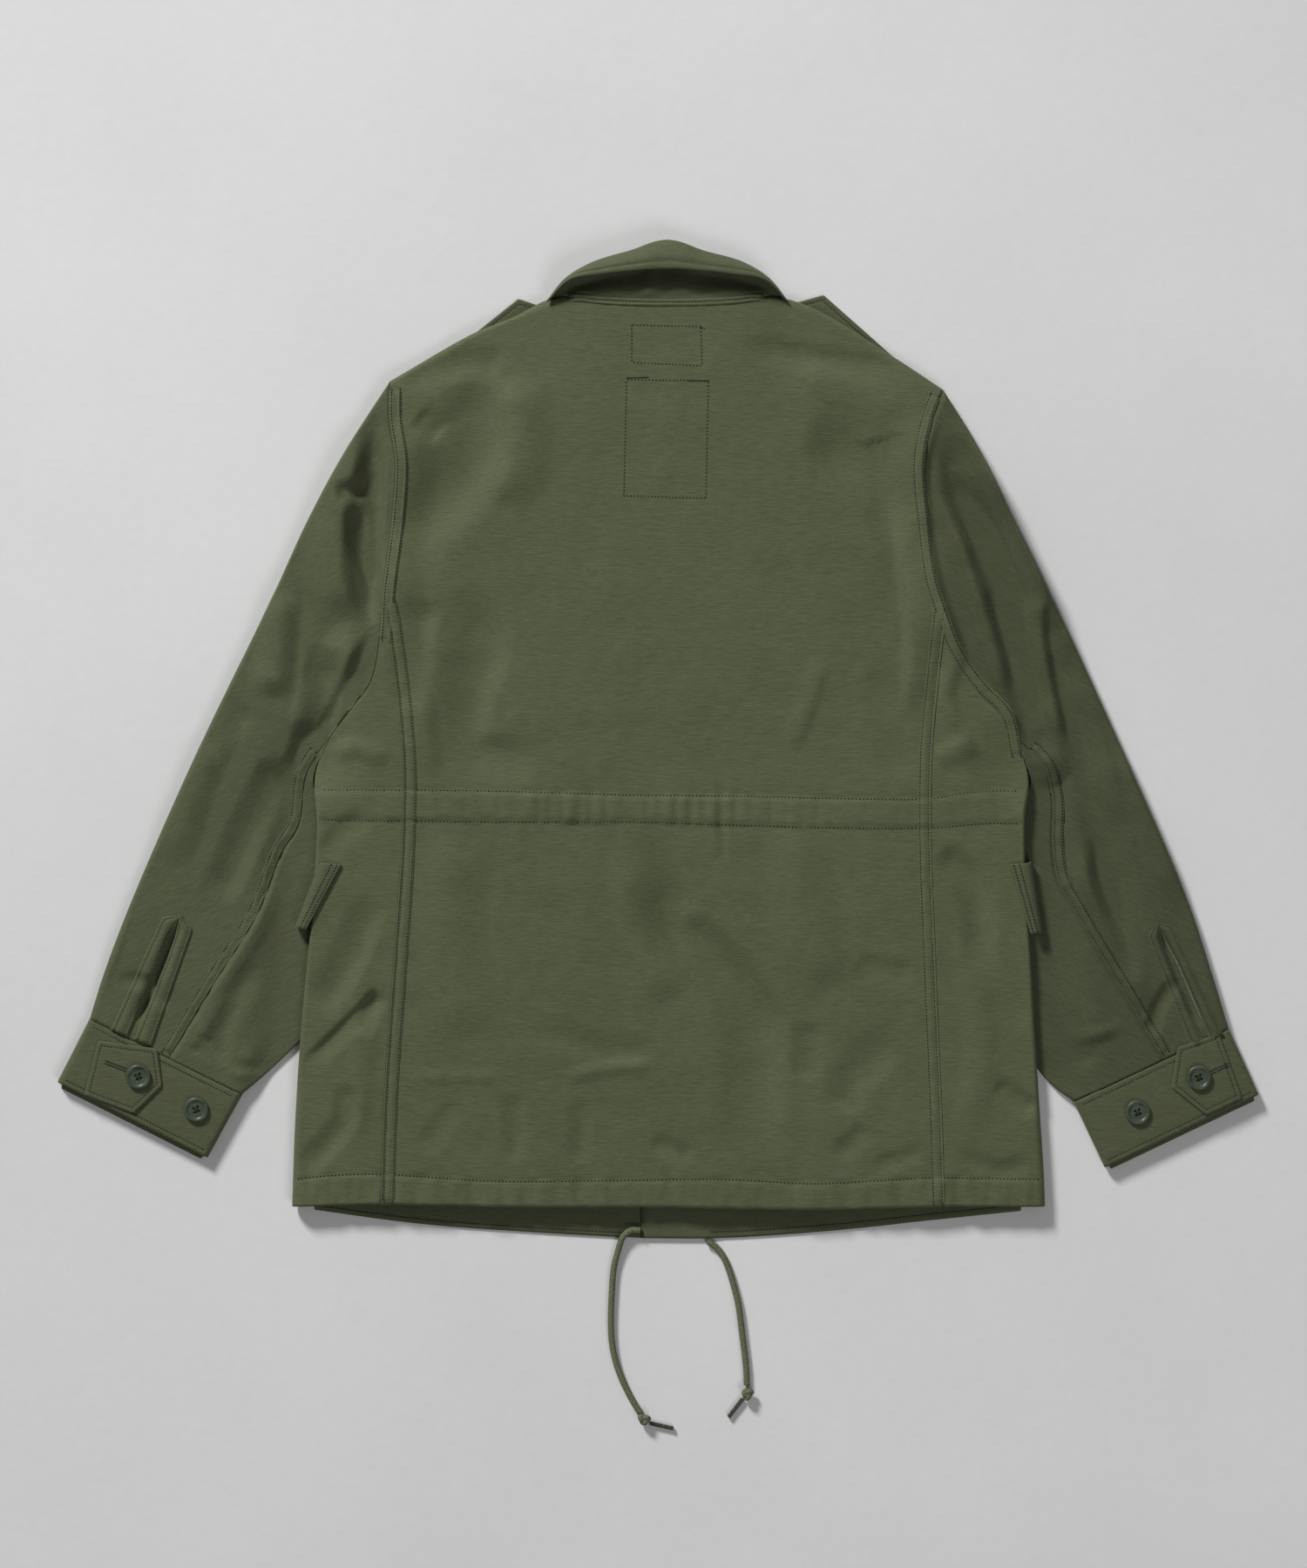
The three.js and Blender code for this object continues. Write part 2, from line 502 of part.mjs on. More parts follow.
/** Height of a coarse grid of outer points at (x, y), exactly on its faces. */
function surfaceAt(rows, x, y, outside) {
  const inFace = (a, b, c) => {
    const area = (b[0] - a[0]) * (c[1] - a[1]) - (c[0] - a[0]) * (b[1] - a[1]);
    const s = ((b[0] - x) * (c[1] - y) - (c[0] - x) * (b[1] - y)) / area;
    const t = ((c[0] - x) * (a[1] - y) - (a[0] - x) * (c[1] - y)) / area;
    if (Math.abs(area) < 1e-6 || s < -1e-6 || t < -1e-6 || s + t > 1 + 1e-6) return null;
    return s * a[2] + t * b[2] + (1 - s - t) * c[2];
  };
  let best = -Infinity;
  for (let r = 0; r < rows.length - 1; r += 1) {
    for (let c = 0; c < rows[r].length - 1; c += 1) {
      const [a, b, d, e] = [rows[r][c], rows[r][c + 1], rows[r + 1][c + 1], rows[r + 1][c]].map((p) => p.at);
      for (const triangle of [[a, b, d], [a, d, e]]) {
        const height = inFace(...triangle);
        if (height !== null) best = Math.max(best, height);
      }
    }
  }
  return best > -Infinity ? best : outside;
}

/** Placket: a band that runs down one lip of the slit, round its top and up the other lip. */
function placket({ apex, foot, halfTop, halfFoot, slit }, sleeveRows) {
  const from = new THREE.Vector2(...apex);
  const to = new THREE.Vector2(...foot);
  const down = unit(from, to);
  const across = new THREE.Vector2(-down.y, down.x);
  const length = from.distanceTo(to);
  const count = 6;
  const slitTop = 8;        // from the placket's top to the slit's
  const path = steps(-1, 1, 2 * count).map((k) => {
    const t = Math.abs(k);
    const sideways = Math.sign(k);
    return {
      inner: sideways * slit * Math.min(t * 3, 1) / 2,
      outer: sideways * mix(halfTop, halfFoot, t),
      lip: mix(slitTop, length, t),
      end: mix(0, length, t),
    };
  });
  const place = (distance, offset) => {
    const p = from.clone().addScaledVector(down, distance).addScaledVector(across, offset);
    return upper(p, surfaceAt(sleeveRows, p.x, p.y, CUFF_HEIGHT) + 2 * GAP + CLOTH);
  };
  return [0, 0.5, 1].map((w) => path.map(({ inner, outer, lip, end }) => (
    place(mix(lip, end, w), mix(inner, outer, w)))));
}

// ---------- cuffs, tabs and buttons ----------
/** Flattened open tube; the lower layer reaches a little past the upper one at the wrist. */
function cuffRows({ outerTop, innerTop, outerEnd, innerEnd }) {
  const corner = (p) => new THREE.Vector2(...p);
  const down = unit(corner(outerTop), corner(outerEnd));
  const radius = CUFF_HEIGHT / 2;
  return [0, 0.5, 1].map((t) => {
    const seamGap = GAP * (1 - t);
    const outer = corner(outerTop).lerp(corner(outerEnd), t).addScaledVector(down, seamGap);
    const inner = corner(innerTop).lerp(corner(innerEnd), t).addScaledVector(down, seamGap);
    const inside = unit(outer, inner);
    const back = inside.clone().negate();
    const span = outer.distanceTo(inner) - 2 * radius;
    const layer = steps(0, 1, 5).map((s) => outer.clone().addScaledVector(inside, radius + s * span));
    const longer = CUFF_STEP * smooth(t);
    return [
      ...layer.map((p) => upper(p, CUFF_HEIGHT)),
      ...nose(inner, back, 0, CUFF_HEIGHT),
      ...layer.map((p) => lower(p.clone().addScaledVector(down, longer), 0)).reverse(),
      ...nose(outer, inside, 0, CUFF_HEIGHT).reverse(),
    ];
  });
}

function flatPiece(corners, thickness, height) {
  const outline = new THREE.Shape(corners.map(([x, y]) => new THREE.Vector2(x, y)));
  const geometry = new THREE.ExtrudeGeometry(outline, { depth: thickness, bevelEnabled: false });
  return geometry.translate(0, 0, height);
}

function buttonShape({ radius, thickness, rim, dish }) {
  const profile = [[0, 0], [radius - 1, 0], [radius, 1], [radius, thickness - 0.6], [radius - 0.8, thickness],
    [radius - rim, thickness], [radius - rim - 0.8, thickness - dish], [0, thickness - dish]];
  const shape = new THREE.LatheGeometry(profile.map(([x, y]) => new THREE.Vector2(x, y)), 20);
  return shape.rotateX(Math.PI / 2);
}

// ---------- collar ----------
/** Rows from one side of the neck to the other; each runs from the seam round the roll to the edge. */
function collarRows() {
  const half = COLLAR.map(({ seam, roll, edge }) => [seam, roll, edge]);
  const mirrored = half.slice(1).map((row) => row.map(([x, y, z]) => [-x, y, z]));
  const stations = [...half.slice().reverse(), ...mirrored];
  const tracks = [0, 1, 2].map((k) => new THREE.CatmullRomCurve3(
    stations.map((row) => new THREE.Vector3(...row[k])), false, 'centripetal'));
  return steps(0, 1, COLLAR_SHAPE.rows).map((t) => {
    const [seam, roll, edge] = tracks.map((track) => track.getPoint(t));
    const lip = edge.clone().lerp(roll, COLLAR_SHAPE.lip);
    lip.setZ(mix(edge.z, roll.z, COLLAR_SHAPE.lip / 2) + COLLAR_SHAPE.lipRise);
    const foot = seam.clone().lerp(roll, COLLAR_SHAPE.foot);
    foot.setZ(Math.min(seam.z, roll.z) - COLLAR_SHAPE.footDip);
    const section = new THREE.CatmullRomCurve3([seam, foot, roll, lip, edge], false, 'centripetal');
    return section.getPoints(COLLAR_SHAPE.columns);
  });
}

/** Gives each point of a surface the direction to its inner face, from the surface's own slope. */
function facedRows(rows) {
  const last = rows.length - 1;
  return rows.map((row, j) => row.map((p, i) => {
    const across = row[Math.min(i + 1, row.length - 1)].clone().sub(row[Math.max(i - 1, 0)]);
    const down = rows[Math.min(j + 1, last)][i].clone().sub(rows[Math.max(j - 1, 0)][i]);
    const normal = across.cross(down).normalize();
    if (i === 0) normal.set(0, 0, Math.sign(normal.z));
    const outer = p.clone().addScaledVector(normal, -DOUBLED / 2);
    return { at: outer.toArray(), inward: normal.toArray() };
  }));
}

// ---------- shoulder loops ----------
/** Strap with a pointed end, from its outer corner at the neck end down towards the armhole. */
function loopOutline({ corner, along: [ax, ay], length }, sign) {
  const across = [-ay * -sign, ax * -sign];
  const at = (down, side) => [
    corner[0] + ax * down + across[0] * side, corner[1] + ay * down + across[1] * side];
  const { width, point } = LOOP;
  return [at(0, 0), at(length, 0), at(length, width), at(0, width), at(-point, width / 2)];
}

/** Lower pocket flap, close under the front that it is sewn to. */
function flapRows({ top, bottom }, frontRows) {
  const across = steps(0, 1, 9);
  const point = ([from, to], t) => new THREE.Vector2(...from).lerp(new THREE.Vector2(...to), t);
  return steps(0, 1, 3).map((s) => across.map((t) => {
    const p = point(top, t).lerp(point(bottom, t), s);
    const front = surfaceAt(frontRows, p.x, p.y, bodyBase(p.x, p.y));
    return upper(p, Math.max(Math.min(bodyBase(p.x, p.y), front) - GAP, DOUBLED));
  }));
}

// ---------- drawcord ----------
const CORDS = {
  left: {
    route: [[-12.5, -394, 4.4], [-20, -394, 4.4], [-26.5, -399, 4.3], [-30.5, -410, 3], [-34, -424, 2.6],
      [-35.7, -445, 2.5], [-36.4, -467, 2.5], [-35.7, -483, 2.5], [-33, -498, 2.5], [-28, -513, 2.5],
      [-20.3, -529, 2.5], [-12.6, -541.5, 2.5]],
    knot: [-9.6, -546, 5.2],
    tip: [[-5.2, -549.6, 1.8], [14, -554, 1.8]],
  },
  right: {
    route: [[41.6, -403, 2.6], [47.5, -407, 2.5], [53.5, -414, 2.5], [58.1, -424.2, 2.5], [62.3, -437.5, 2.5],
      [66.5, -455, 2.5], [69.3, -476.7, 2.5], [71.6, -495, 2.5], [72.8, -508, 2.5], [73.1, -519.5, 2.5]],
    knot: [73.5, -525.6, 5.2],
    tip: [[70, -529.8, 1.8], [58.4, -544.8, 1.8]],
  },
};

function cord(route) {
  const path = new THREE.CatmullRomCurve3(route.map((p) => new THREE.Vector3(...p)), false, 'centripetal');
  const ring = new THREE.Shape(Array.from({ length: CORD.sides }, (_, k) => {
    const angle = (k / CORD.sides) * 2 * Math.PI;
    return new THREE.Vector2(CORD.radius * Math.cos(angle), CORD.radius * Math.sin(angle));
  }));
  const count = Math.round(path.getLength() / (CORD.radius * 4.4));
  return new THREE.ExtrudeGeometry(ring, { steps: count, extrudePath: path, bevelEnabled: false });
}

function metalTip([from, to]) {
  const start = new THREE.Vector3(...from);
  const end = new THREE.Vector3(...to);
  const shape = new THREE.CylinderGeometry(TIP.radius, TIP.radius, start.distanceTo(end), TIP.sides);
  shape.rotateZ(Math.PI / 2);
  const direction = end.clone().sub(start).normalize();
  shape.rotateZ(Math.atan2(direction.y, direction.x));
  const middle = start.add(end).multiplyScalar(0.5);
  return shape.translate(middle.x, middle.y, middle.z);
}

// ---------- assembly ----------
const lines = { left: sideLines(SIDES.left), right: sideLines(SIDES.right) };
add('back_centre', clothWall(backCentre(lines.left, lines.right), CLOTH));
add('collar', clothWall(facedRows(collarRows()), DOUBLED)).position.set(COLLAR_CENTRE, 0, 0);

for (const [name, table] of Object.entries(SIDES)) {
  const { rows, seam } = backSide(table, lines[name]);
  add(`back_side_${name}`, clothWall(rows, CLOTH));
  const base = name === 'right' ? rightFrontBase : bodyBase;
  const frontRows = front(name, table, lines[name], seam, base);
  add(`front_${name}`, clothWall(frontRows, CLOTH));
  const { top, under, cuff } = sleeve(table, lines[name]);
  add(`sleeve_top_${name}`, clothWall(top, CLOTH));
  add(`sleeve_under_${name}`, clothWall(under, CLOTH));
  add(`placket_${name}`, clothWall(placket(table.placket, top), CLOTH));
  add(`cuff_${name}`, clothWall(cuffRows(cuff), CUFF_WALL, true));
  add(`cuff_tab_${name}`, flatPiece(table.tab, DOUBLED, CUFF_HEIGHT + GAP));
  table.buttons.forEach(({ at: [x, y], on }, k) => {
    const seat = CUFF_HEIGHT + GAP + (on === 'tab' ? DOUBLED + GAP : 0);
    add(`cuff_button_${name}_${k + 1}`, buttonShape(BUTTON), BUTTON_GREEN).position.set(x, y, seat);
  });
  add(`shoulder_loop_${name}`, flatPiece(loopOutline(table.loop, table.sign), DOUBLED, 0));
  add(`pocket_flap_${name}`, clothWall(flapRows(table.flap, frontRows), DOUBLED));
  const { route, knot, tip } = CORDS[name];
  add(`hem_cord_${name}`, cord(route), CORD_GREEN);
  add(`cord_knot_${name}`, new THREE.SphereGeometry(KNOT_RADIUS, 12, 8), CORD_GREEN).position.set(...knot);
  add(`cord_tip_${name}`, metalTip(tip), TIP_METAL);
}

export default jacket;
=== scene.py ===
"""Field jacket of olive cotton sateen, laid flat and face down on a pale floor, seen from above."""
import math

import bpy
import mathutils
import numpy as np
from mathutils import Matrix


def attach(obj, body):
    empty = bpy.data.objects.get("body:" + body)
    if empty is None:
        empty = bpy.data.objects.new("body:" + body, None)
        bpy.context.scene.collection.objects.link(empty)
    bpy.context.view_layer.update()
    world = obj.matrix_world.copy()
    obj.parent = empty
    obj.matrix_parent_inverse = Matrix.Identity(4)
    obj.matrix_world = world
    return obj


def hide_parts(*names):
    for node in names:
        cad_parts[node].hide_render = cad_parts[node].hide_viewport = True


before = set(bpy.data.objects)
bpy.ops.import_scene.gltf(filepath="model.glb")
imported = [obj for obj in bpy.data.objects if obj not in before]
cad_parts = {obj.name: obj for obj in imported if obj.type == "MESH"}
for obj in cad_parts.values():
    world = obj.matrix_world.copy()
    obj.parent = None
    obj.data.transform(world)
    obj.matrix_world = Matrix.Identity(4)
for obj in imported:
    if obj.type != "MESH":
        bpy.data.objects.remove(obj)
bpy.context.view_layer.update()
MM = 0.001

# ---------- sizes, millimetres ----------
CLOTH, DOUBLED, CUFF_WALL, GAP = 1.2, 1.8, 2.0, 0.3
LOFT, SHOULDER_DIP, UNDERARM_DIP = 12.5, 2.0, 4.0
CUFF_HEIGHT, TUCKED, SIDE_WRAP = 9.6, 3.3, 12.0
STRAP_RISE, SLEEVE_RISE = DOUBLED + GAP, TUCKED + GAP
MESH = 2.9                       # spacing of the cloth meshes
NOSE = np.radians(np.linspace(72, -72, 11))

SIDES = {
    "left": dict(
        sign=-1,
        armhole=[(-214, 290), (-214, 259), (-209, 225), (-212, 179), (-219, 121), (-222, 82), (-229, 48),
                 (-244, 27), (-263, 2), (-270, -12)],
        branch=177,
        princess=[(-219, 113), (-215, 90), (-204, -6), (-204, -76), (-210, -169), (-218, -284), (-221, -372)],
        side=[(-270, -12), (-274, -24), (-275, -38), (-272.5, -62), (-277, -140), (-286, -237), (-291, -314),
              (-293, -374)],
        outer=[(-214, 290), (-245, 242), (-280, 179), (-309, 116), (-365, 1), (-421, -125), (-445, -188),
               (-456, -223)],
        inner=[(-270, -12), (-275, -24), (-276, -38), (-262, -62), (-247, -95), (-237, -130), (-237, -165),
               (-252, -205), (-286, -241), (-319, -272), (-333, -284)],
        seam=[(-264, 3), (-282, -26), (-288, -66), (-302, -90), (-321, -139), (-356, -195), (-392, -255)],
        front_seam=[(-222, 86), (-247, 57), (-278, 15), (-302, -60), (-386, -259)],
        seam_ends=(0.53, 0.58),
        cuff=dict(outer_top=(-456, -223), inner_top=(-333, -284), outer_end=(-482, -274),
                  inner_end=(-361, -335)),
        loop=dict(corner=(-111, 357), along=(-0.784, -0.621), length=122),
        flap=dict(top=[(-264, -96), (-110, -98)], bottom=[(-284, -148), (-112, -161)]),
        placket=dict(apex=(-381, -137), foot=(-418, -228), half_top=13, half_foot=18, slit=5),
        tab=[(-448.5, -240.5), (-401, -247), (-397, -277), (-420, -299), (-459.5, -284)],
        buttons=[((-415.8, -269.5), "tab"), ((-369.6, -296.1), "cuff")],
        band_end=212,
        hole=((-443, -257.6), (-426, -264)),
        grain=0.42,
        # painted shade: the left sleeve's cloth is mixed a little darker than the back, for the light its sateen
        # reflects less of
        tone=0.87,
    ),
    "right": dict(
        sign=1,
        armhole=[(231, 283), (222, 259), (215.5, 225), (219, 180), (225, 131), (233, 106), (244, 77),
                 (264, 48), (286, 24), (295, -12)],
        branch=172,
        princess=[(233, 106), (228, 60), (222, -6), (221, -76), (225, -188), (229, -284), (232, -374)],
        side=[(295, -12), (299, -24), (300, -38), (296.5, -64), (298, -123), (302, -188), (307, -272),
              (312, -346), (313, -374)],
        outer=[(231, 283), (256, 242), (288, 179), (319, 116), (372, 1), (427, -125), (448, -188), (461, -231)],
        inner=[(295, -12), (300, -24), (301, -38), (287, -62), (272, -95), (262, -130), (262, -165),
               (277, -212), (306, -262), (320, -278), (336, -290)],
        seam=[(289, 3), (311, -18), (319, -45), (319, -80), (323, -110), (341, -144), (380, -209), (408, -256)],
        front_seam=[(240, 87), (275, 66), (308, 22), (328, -60), (396, -262)],
        seam_ends=(0.43, 0.55),
        cuff=dict(outer_top=(461, -231), inner_top=(336, -290), outer_end=(485, -284), inner_end=(361, -343)),
        loop=dict(corner=(135, 360), along=(0.749, -0.663), length=118),
        flap=dict(top=[(295, -96), (126, -98)], bottom=[(304, -152), (128, -162)]),
        placket=dict(apex=(401, -143), foot=(439, -231), half_top=10, half_foot=14, slit=5),
        tab=[(452.5, -234.5), (419, -246), (414, -278), (442, -300.5), (471, -287)],
        buttons=[((436, -270.2), "tab"), ((387.1, -298.2), "cuff")],
        band_end=318,
        hole=((460, -259.7), (444.5, -266.7)),
        grain=-0.40,
        # painted shade: the right sleeve's cloth is mixed about a third darker than the back, for the light its
        # sateen reflects less of
        tone=0.7,
    ),
}
SHOULDER = dict(left=[(-214, 290), (-148, 328), (-114, 342), (-90, 354.5), (-72, 359)],
                right=[(231, 283), (195, 307), (132, 346), (108, 355.5), (90, 359)])
BACK_HEM = [(-221, -372), (-103, -374.5), (0, -374.5), (125, -376.5), (232, -374)]
FRONT_HEM = dict(left=[(-281, -377), (-190, -389), (-103, -395.5), (-12, -400.3), (30, -400.4)],
                 right=[(300, -378), (218, -386.5), (148, -394), (56, -400.3), (-12, -400.4)])
CENTRE_FRONT = dict(left=30, right=-12, neck_y=268)
LAP = (55, 35)
COLLAR_CENTRE = 9
COLLAR = dict(
    seam=[(0, 354.6, 11.9), (-27, 355, 11.9), (-54, 356.5, 11.5), (-72, 358.5, 9), (-80, 358, 6)],
    roll=[(0, 401.5, 16), (-30, 393, 16), (-60, 384, 14), (-82, 370.5, 10), (-94, 356.5, 5.5)],
    edge=[(0, 378, 25), (-28, 376.5, 25), (-55, 373.5, 24), (-78, 369.5, 22), (-96.5, 353, 13)])
SLEEVES_BELOW = [((-400, -228), (-266, -40), 27, SLEEVE_RISE), ((253, 420), (-286, -40), 27, SLEEVE_RISE)]
STRAPS_BELOW = [((-500, 500), (208, 500), 20, STRAP_RISE), ((-320, -75), (-185, -70), 25, STRAP_RISE),
                ((91, 340), (-187, -70), 25, STRAP_RISE)]
CORDS = {
    "left": dict(
        route=[(-12.5, -394, 4.4), (-20, -394, 4.4), (-26.5, -399, 4.3), (-30.5, -410, 3), (-34, -424, 2.6),
               (-35.7, -445, 2.5), (-36.4, -467, 2.5), (-35.7, -483, 2.5), (-33, -498, 2.5), (-28, -513, 2.5),
               (-20.3, -529, 2.5), (-12.6, -541.5, 2.5)],
        knot=(-9.6, -546, 5.2), tip=[(-5.2, -549.6, 1.8), (14, -554, 1.8)]),
    "right": dict(
        route=[(41.6, -403, 2.6), (47.5, -407, 2.5), (53.5, -414, 2.5), (58.1, -424.2, 2.5), (62.3, -437.5, 2.5),
               (66.5, -455, 2.5), (69.3, -476.7, 2.5), (71.6, -495, 2.5), (72.8, -508, 2.5), (73.1, -519.5, 2.5)],
        knot=(73.5, -525.6, 5.2), tip=[(70, -529.8, 1.8), (58.4, -544.8, 1.8)]),
}

BACK_RELIEF, SLEEVE_RELIEF = 2.3, 2.4
LOWEST, SOFTNESS = 4.6, 1.5      # the upper layer never comes nearer the floor than LOWEST

# ---------- folds: route, half width to its left and to its right, height ----------
MAIN_FOLDS = [
    ([(-149, 295), (-139, 260), (-146, 218), (-178, 182), (-198, 148)], 34, 34, -2.4),
    ([(-156, 106), (-146, 50), (-135, 0), (-79, -20)], 32, 32, -2),
    ([(155, 260), (149, 232), (180, 197), (208, 162), (194, 64)], 34, 34, -2.4),
    ([(5, -104), (33, -160), (68, -216), (89, -244)], 36, 36, -2),
    ([(-257, 64), (-268, 0), (-296, -62), (-330, -140)], 26, 26, -3),
    ([(243, 218), (278, 134), (299, 64), (323, -13)], 30, 30, -2.8),
    ([(305, 106), (323, 15), (327, -20), (318, -60)], 18, 18, 2),
    ([(323, 78), (341, 1), (356, -41), (372, -134)], 22, 22, -3),
]
BACK_FOLDS = [
    # upper left: the hollow beside the armhole and the drape below it
    ([(-165, 285), (-150, 262), (-147, 230), (-170, 200), (-196, 172), (-203, 130)], 34, 48, -2.0),
    ([(-192, 262), (-172, 246)], 15, 18, -0.99),
    ([(-183, 115), (-192, 75), (-194, 20)], 15, 25, -1.49),
    ([(-160, 126), (-134, 74), (-147, 36), (-147, -4), (-96, -16)], 20, 40, -2.2),
    ([(-203, 293), (-147, 303), (-124, 300)], 20, 15, -0.99),
    ([(-118, 292), (-112, 240), (-126, 190)], 34, 22, 1.8),
    ([(-205, 120), (-188, 30), (-180, -30)], 12, 20, 0.81),
    ([(-206, 262), (-203, 225), (-206, 180), (-212, 131), (-216, 96)], 30, 10, 1.5),
    # upper right
    ([(224, 262), (212, 225), (215, 180), (223, 131), (233, 96), (254, 60)], 10, 36, 2.4),
    ([(165, 265), (150, 236), (186, 210), (203, 176), (211, 160), (210, 124)], 48, 36, -2.0),
    ([(134, 66), (125, 34), (107, -10)], 9, 15, 0.68),
    ([(68, 322), (110, 312), (152, 306), (200, 296)], 12, 18, -0.81),
    ([(110, 300), (160, 284), (205, 262)], 15, 25, 0.93),
    ([(196, 190), (206, 100), (204, 20)], 22, 10, 1.6),
    ([(176, 60), (190, 10), (196, -30)], 20, 20, -0.74),
    ([(232, 115), (241, 70), (232, 36), (246, 3)], 11, 11, 0.93),
    ([(224, -15), (256, 3)], 11, 15, 0.99),
    # waist to hem
    ([(-4, -74), (10, -122), (15, -150), (39, -165), (83, -225), (85, -271), (80, -341)], 24, 40, -2.6),
    ([(52, -30), (54, -100)], 5, 6, -0.43),
    ([(124, -225), (121, -274)], 15, 20, -0.99),
    ([(191, -239), (158, -276), (152, -298)], 18, 25, -1.36),
    ([(160, -178), (208, -187)], 12, 18, -0.81),
    ([(145, -334), (170, -309)], 11, 14, -0.99),
    ([(174, -343), (214, -329)], 10, 11, -0.74),
    ([(-113, -281), (-113, -341)], 11, 14, -0.93),
    ([(-60, -286), (-60, -341)], 11, 14, -0.87),
    ([(-4, -321), (30, -334)], 10, 11, -0.87),
    ([(-74, -269), (-40, -262), (-4, -259)], 6, 11, 0.81),
    ([(-96, -232), (-50, -247), (3, -251)], 18, 12, -0.81),
    ([(-200, -269), (-120, -269)], 6, 9, 0.43),
    ([(-30, -90), (-12, -160), (10, -210)], 30, 18, 1.5),
    ([(110, -60), (118, -140), (140, -200)], 34, 30, 1.5),
    ([(-160, -70), (-168, -160), (-150, -240)], 36, 30, 1.4),
    ([(-190, -330), (-160, -290)], 12, 15, -0.62),
    # left side panel
    ([(-226, -126), (-245, -177), (-272, -218)], 15, 22, -1.61),
    ([(-284, -261), (-240, -218), (-222, -200)], 6, 15, -1.36),
    ([(-223, -201), (-236, -237)], 10, 12, -0.99),
    ([(-248, -274), (-249, -305), (-286, -348)], 12, 15, -1.36),
    ([(-262, -10), (-240, -5), (-214, -16)], 11, 12, 0.99),
    ([(-268, -95), (-250, -70), (-232, -60)], 12, 15, -0.74),
    ([(-252, -150), (-236, -230), (-246, -330)], 15, 15, 0.74),
    # right side panel
    ([(227, -88), (253, -112), (263, -189)], 15, 18, -1.49),
    ([(273, -274), (305, -298)], 11, 12, -1.24),
    ([(246, -160), (262, -240), (250, -320)], 18, 18, 0.81),
    ([(240, -330), (276, -345), (300, -338)], 11, 11, -0.87),
    ([(250, -10), (272, -34), (290, -60)], 15, 15, -0.81),
]
SLEEVE_FOLDS = {
    "left": [
        ([(-384, -146), (-400, -185), (-418, -228)], 6, 6, -3.0),
        ([(-236, 250), (-252, 190), (-254, 140), (-246, 96)], 12, 34, 2.2),
        ([(-236, 92), (-262, 40), (-280, 0)], 10, 26, 2.2),
        ([(-316, -170), (-346, -226), (-352, -262)], 12, 16, -1.7),
        ([(-300, -214), (-322, -250), (-336, -276)], 12, 12, 1.6),
        ([(-300, -256), (-318, -262), (-340, -262)], 7, 8, -1.6),
        ([(-223, 262), (-224, 200), (-226, 130), (-220, 92)], 10, 20, -2.6),
        ([(-300, 120), (-308, 34)], 18, 22, 2.0),
        ([(-260, 77), (-271, 13), (-286, -32)], 16, 22, -3.0),
        ([(-258, 199), (-219, 207)], 10, 12, -1.6),
        ([(-241, 190), (-237, 152), (-222, 128)], 10, 13, -1.8),
        ([(-369, -8), (-330, 30)], 30, 20, -1.3),
        ([(-340, 40), (-372, -40), (-392, -100)], 20, 26, 1.8),
        ([(-296, -12), (-330, -80), (-352, -130)], 16, 22, -2.0),
        ([(-432, -190), (-405, -196), (-396, -216)], 8, 10, -1.4),
        ([(-360, -236), (-372, -252)], 8, 8, -1.2),
        ([(-340, -200), (-362, -228), (-372, -250)], 9, 9, 1.4),
        ([(-268, -4), (-256, -20), (-262, -36)], 8, 8, 1.8),
        ([(-300, -110), (-332, -170), (-360, -214)], 8, 10, 1.5),
        ([(-420, -60), (-436, -130), (-446, -190)], 16, 20, 1.2),
    ],
    "right": [
        ([(404, -152), (421, -190), (439, -231)], 6, 6, -3.0),
        ([(254, 215), (280, 140), (298, 70), (314, 10)], 34, 26, -2.4),
        ([(316, 70), (334, 10), (350, -50), (366, -110), (384, -160)], 24, 30, -2.2),
        ([(330, 60), (352, 0), (372, -70)], 14, 16, 1.8),
        ([(262, 240), (292, 180), (322, 116), (350, 50)], 20, 26, 1.9),
        ([(250, 262), (276, 205), (300, 150), (318, 104)], 30, 16, 2.6),
        ([(306, -24), (316, -60), (318, -100), (330, -140)], 30, 10, 2.0),
        ([(340, -70), (352, -120), (376, -176), (392, -220)], 16, 12, 2.0),
        ([(239, 216), (258, 169), (288, 141)], 16, 18, -0.9),
        ([(272, 135), (279, 88), (300, 11), (323, -8)], 18, 20, -1.2),
        ([(233, 246), (240, 205), (256, 160), (268, 120)], 24, 14, -1.2),
        ([(305, 120), (309, 78), (328, -6)], 10, 12, 2.6),
        ([(311, 110), (335, 46), (360, -31)], 16, 20, -1.2),
        ([(355, -76), (372, -146), (385, -195)], 12, 18, -2.4),
        ([(302, -202), (330, -240), (352, -262)], 10, 12, -2.6),
        ([(300, -160), (330, -200), (360, -240)], 9, 9, 1.6),
        ([(318, -226), (340, -236), (372, -232)], 8, 9, 1.6),
        ([(236, 190), (262, 110), (284, 40)], 10, 10, 1.5),
        ([(262, 226), (300, 160), (330, 92)], 20, 24, 1.8),
        ([(372, 0), (398, -70), (420, -130)], 18, 22, 1.8),
        ([(420, -190), (404, -214), (398, -236)], 9, 9, -1.6),
        ([(330, -90), (350, -150), (380, -196)], 8, 9, 1.2),
    ],
}
CHANNEL = dict(upper=[(-269, -39), (-135, -40), (-28, -43), (53, -44), (145, -46), (222, -46), (245, -42),
                      (270, -40), (293, -40)],
               lower=[(-269, -63), (-135, -64.5), (-10, -65), (145, -69.5), (222, -69.5), (263, -66), (293, -66)])
HEM_ROW = [(-290, -352), (-258, -348.6), (-220, -348), (-128, -353.5), (-28, -352.8), (56, -352), (125, -355.6),
           (171, -353.5), (223, -350.7), (265, -351.4), (311, -352)]


# ---------- curves, patches and heights ----------
def smooth(t):
    k = np.clip(t, 0, 1)
    return k * k * (3 - 2 * k)


def mix(a, b, t):
    return a + (b - a) * t


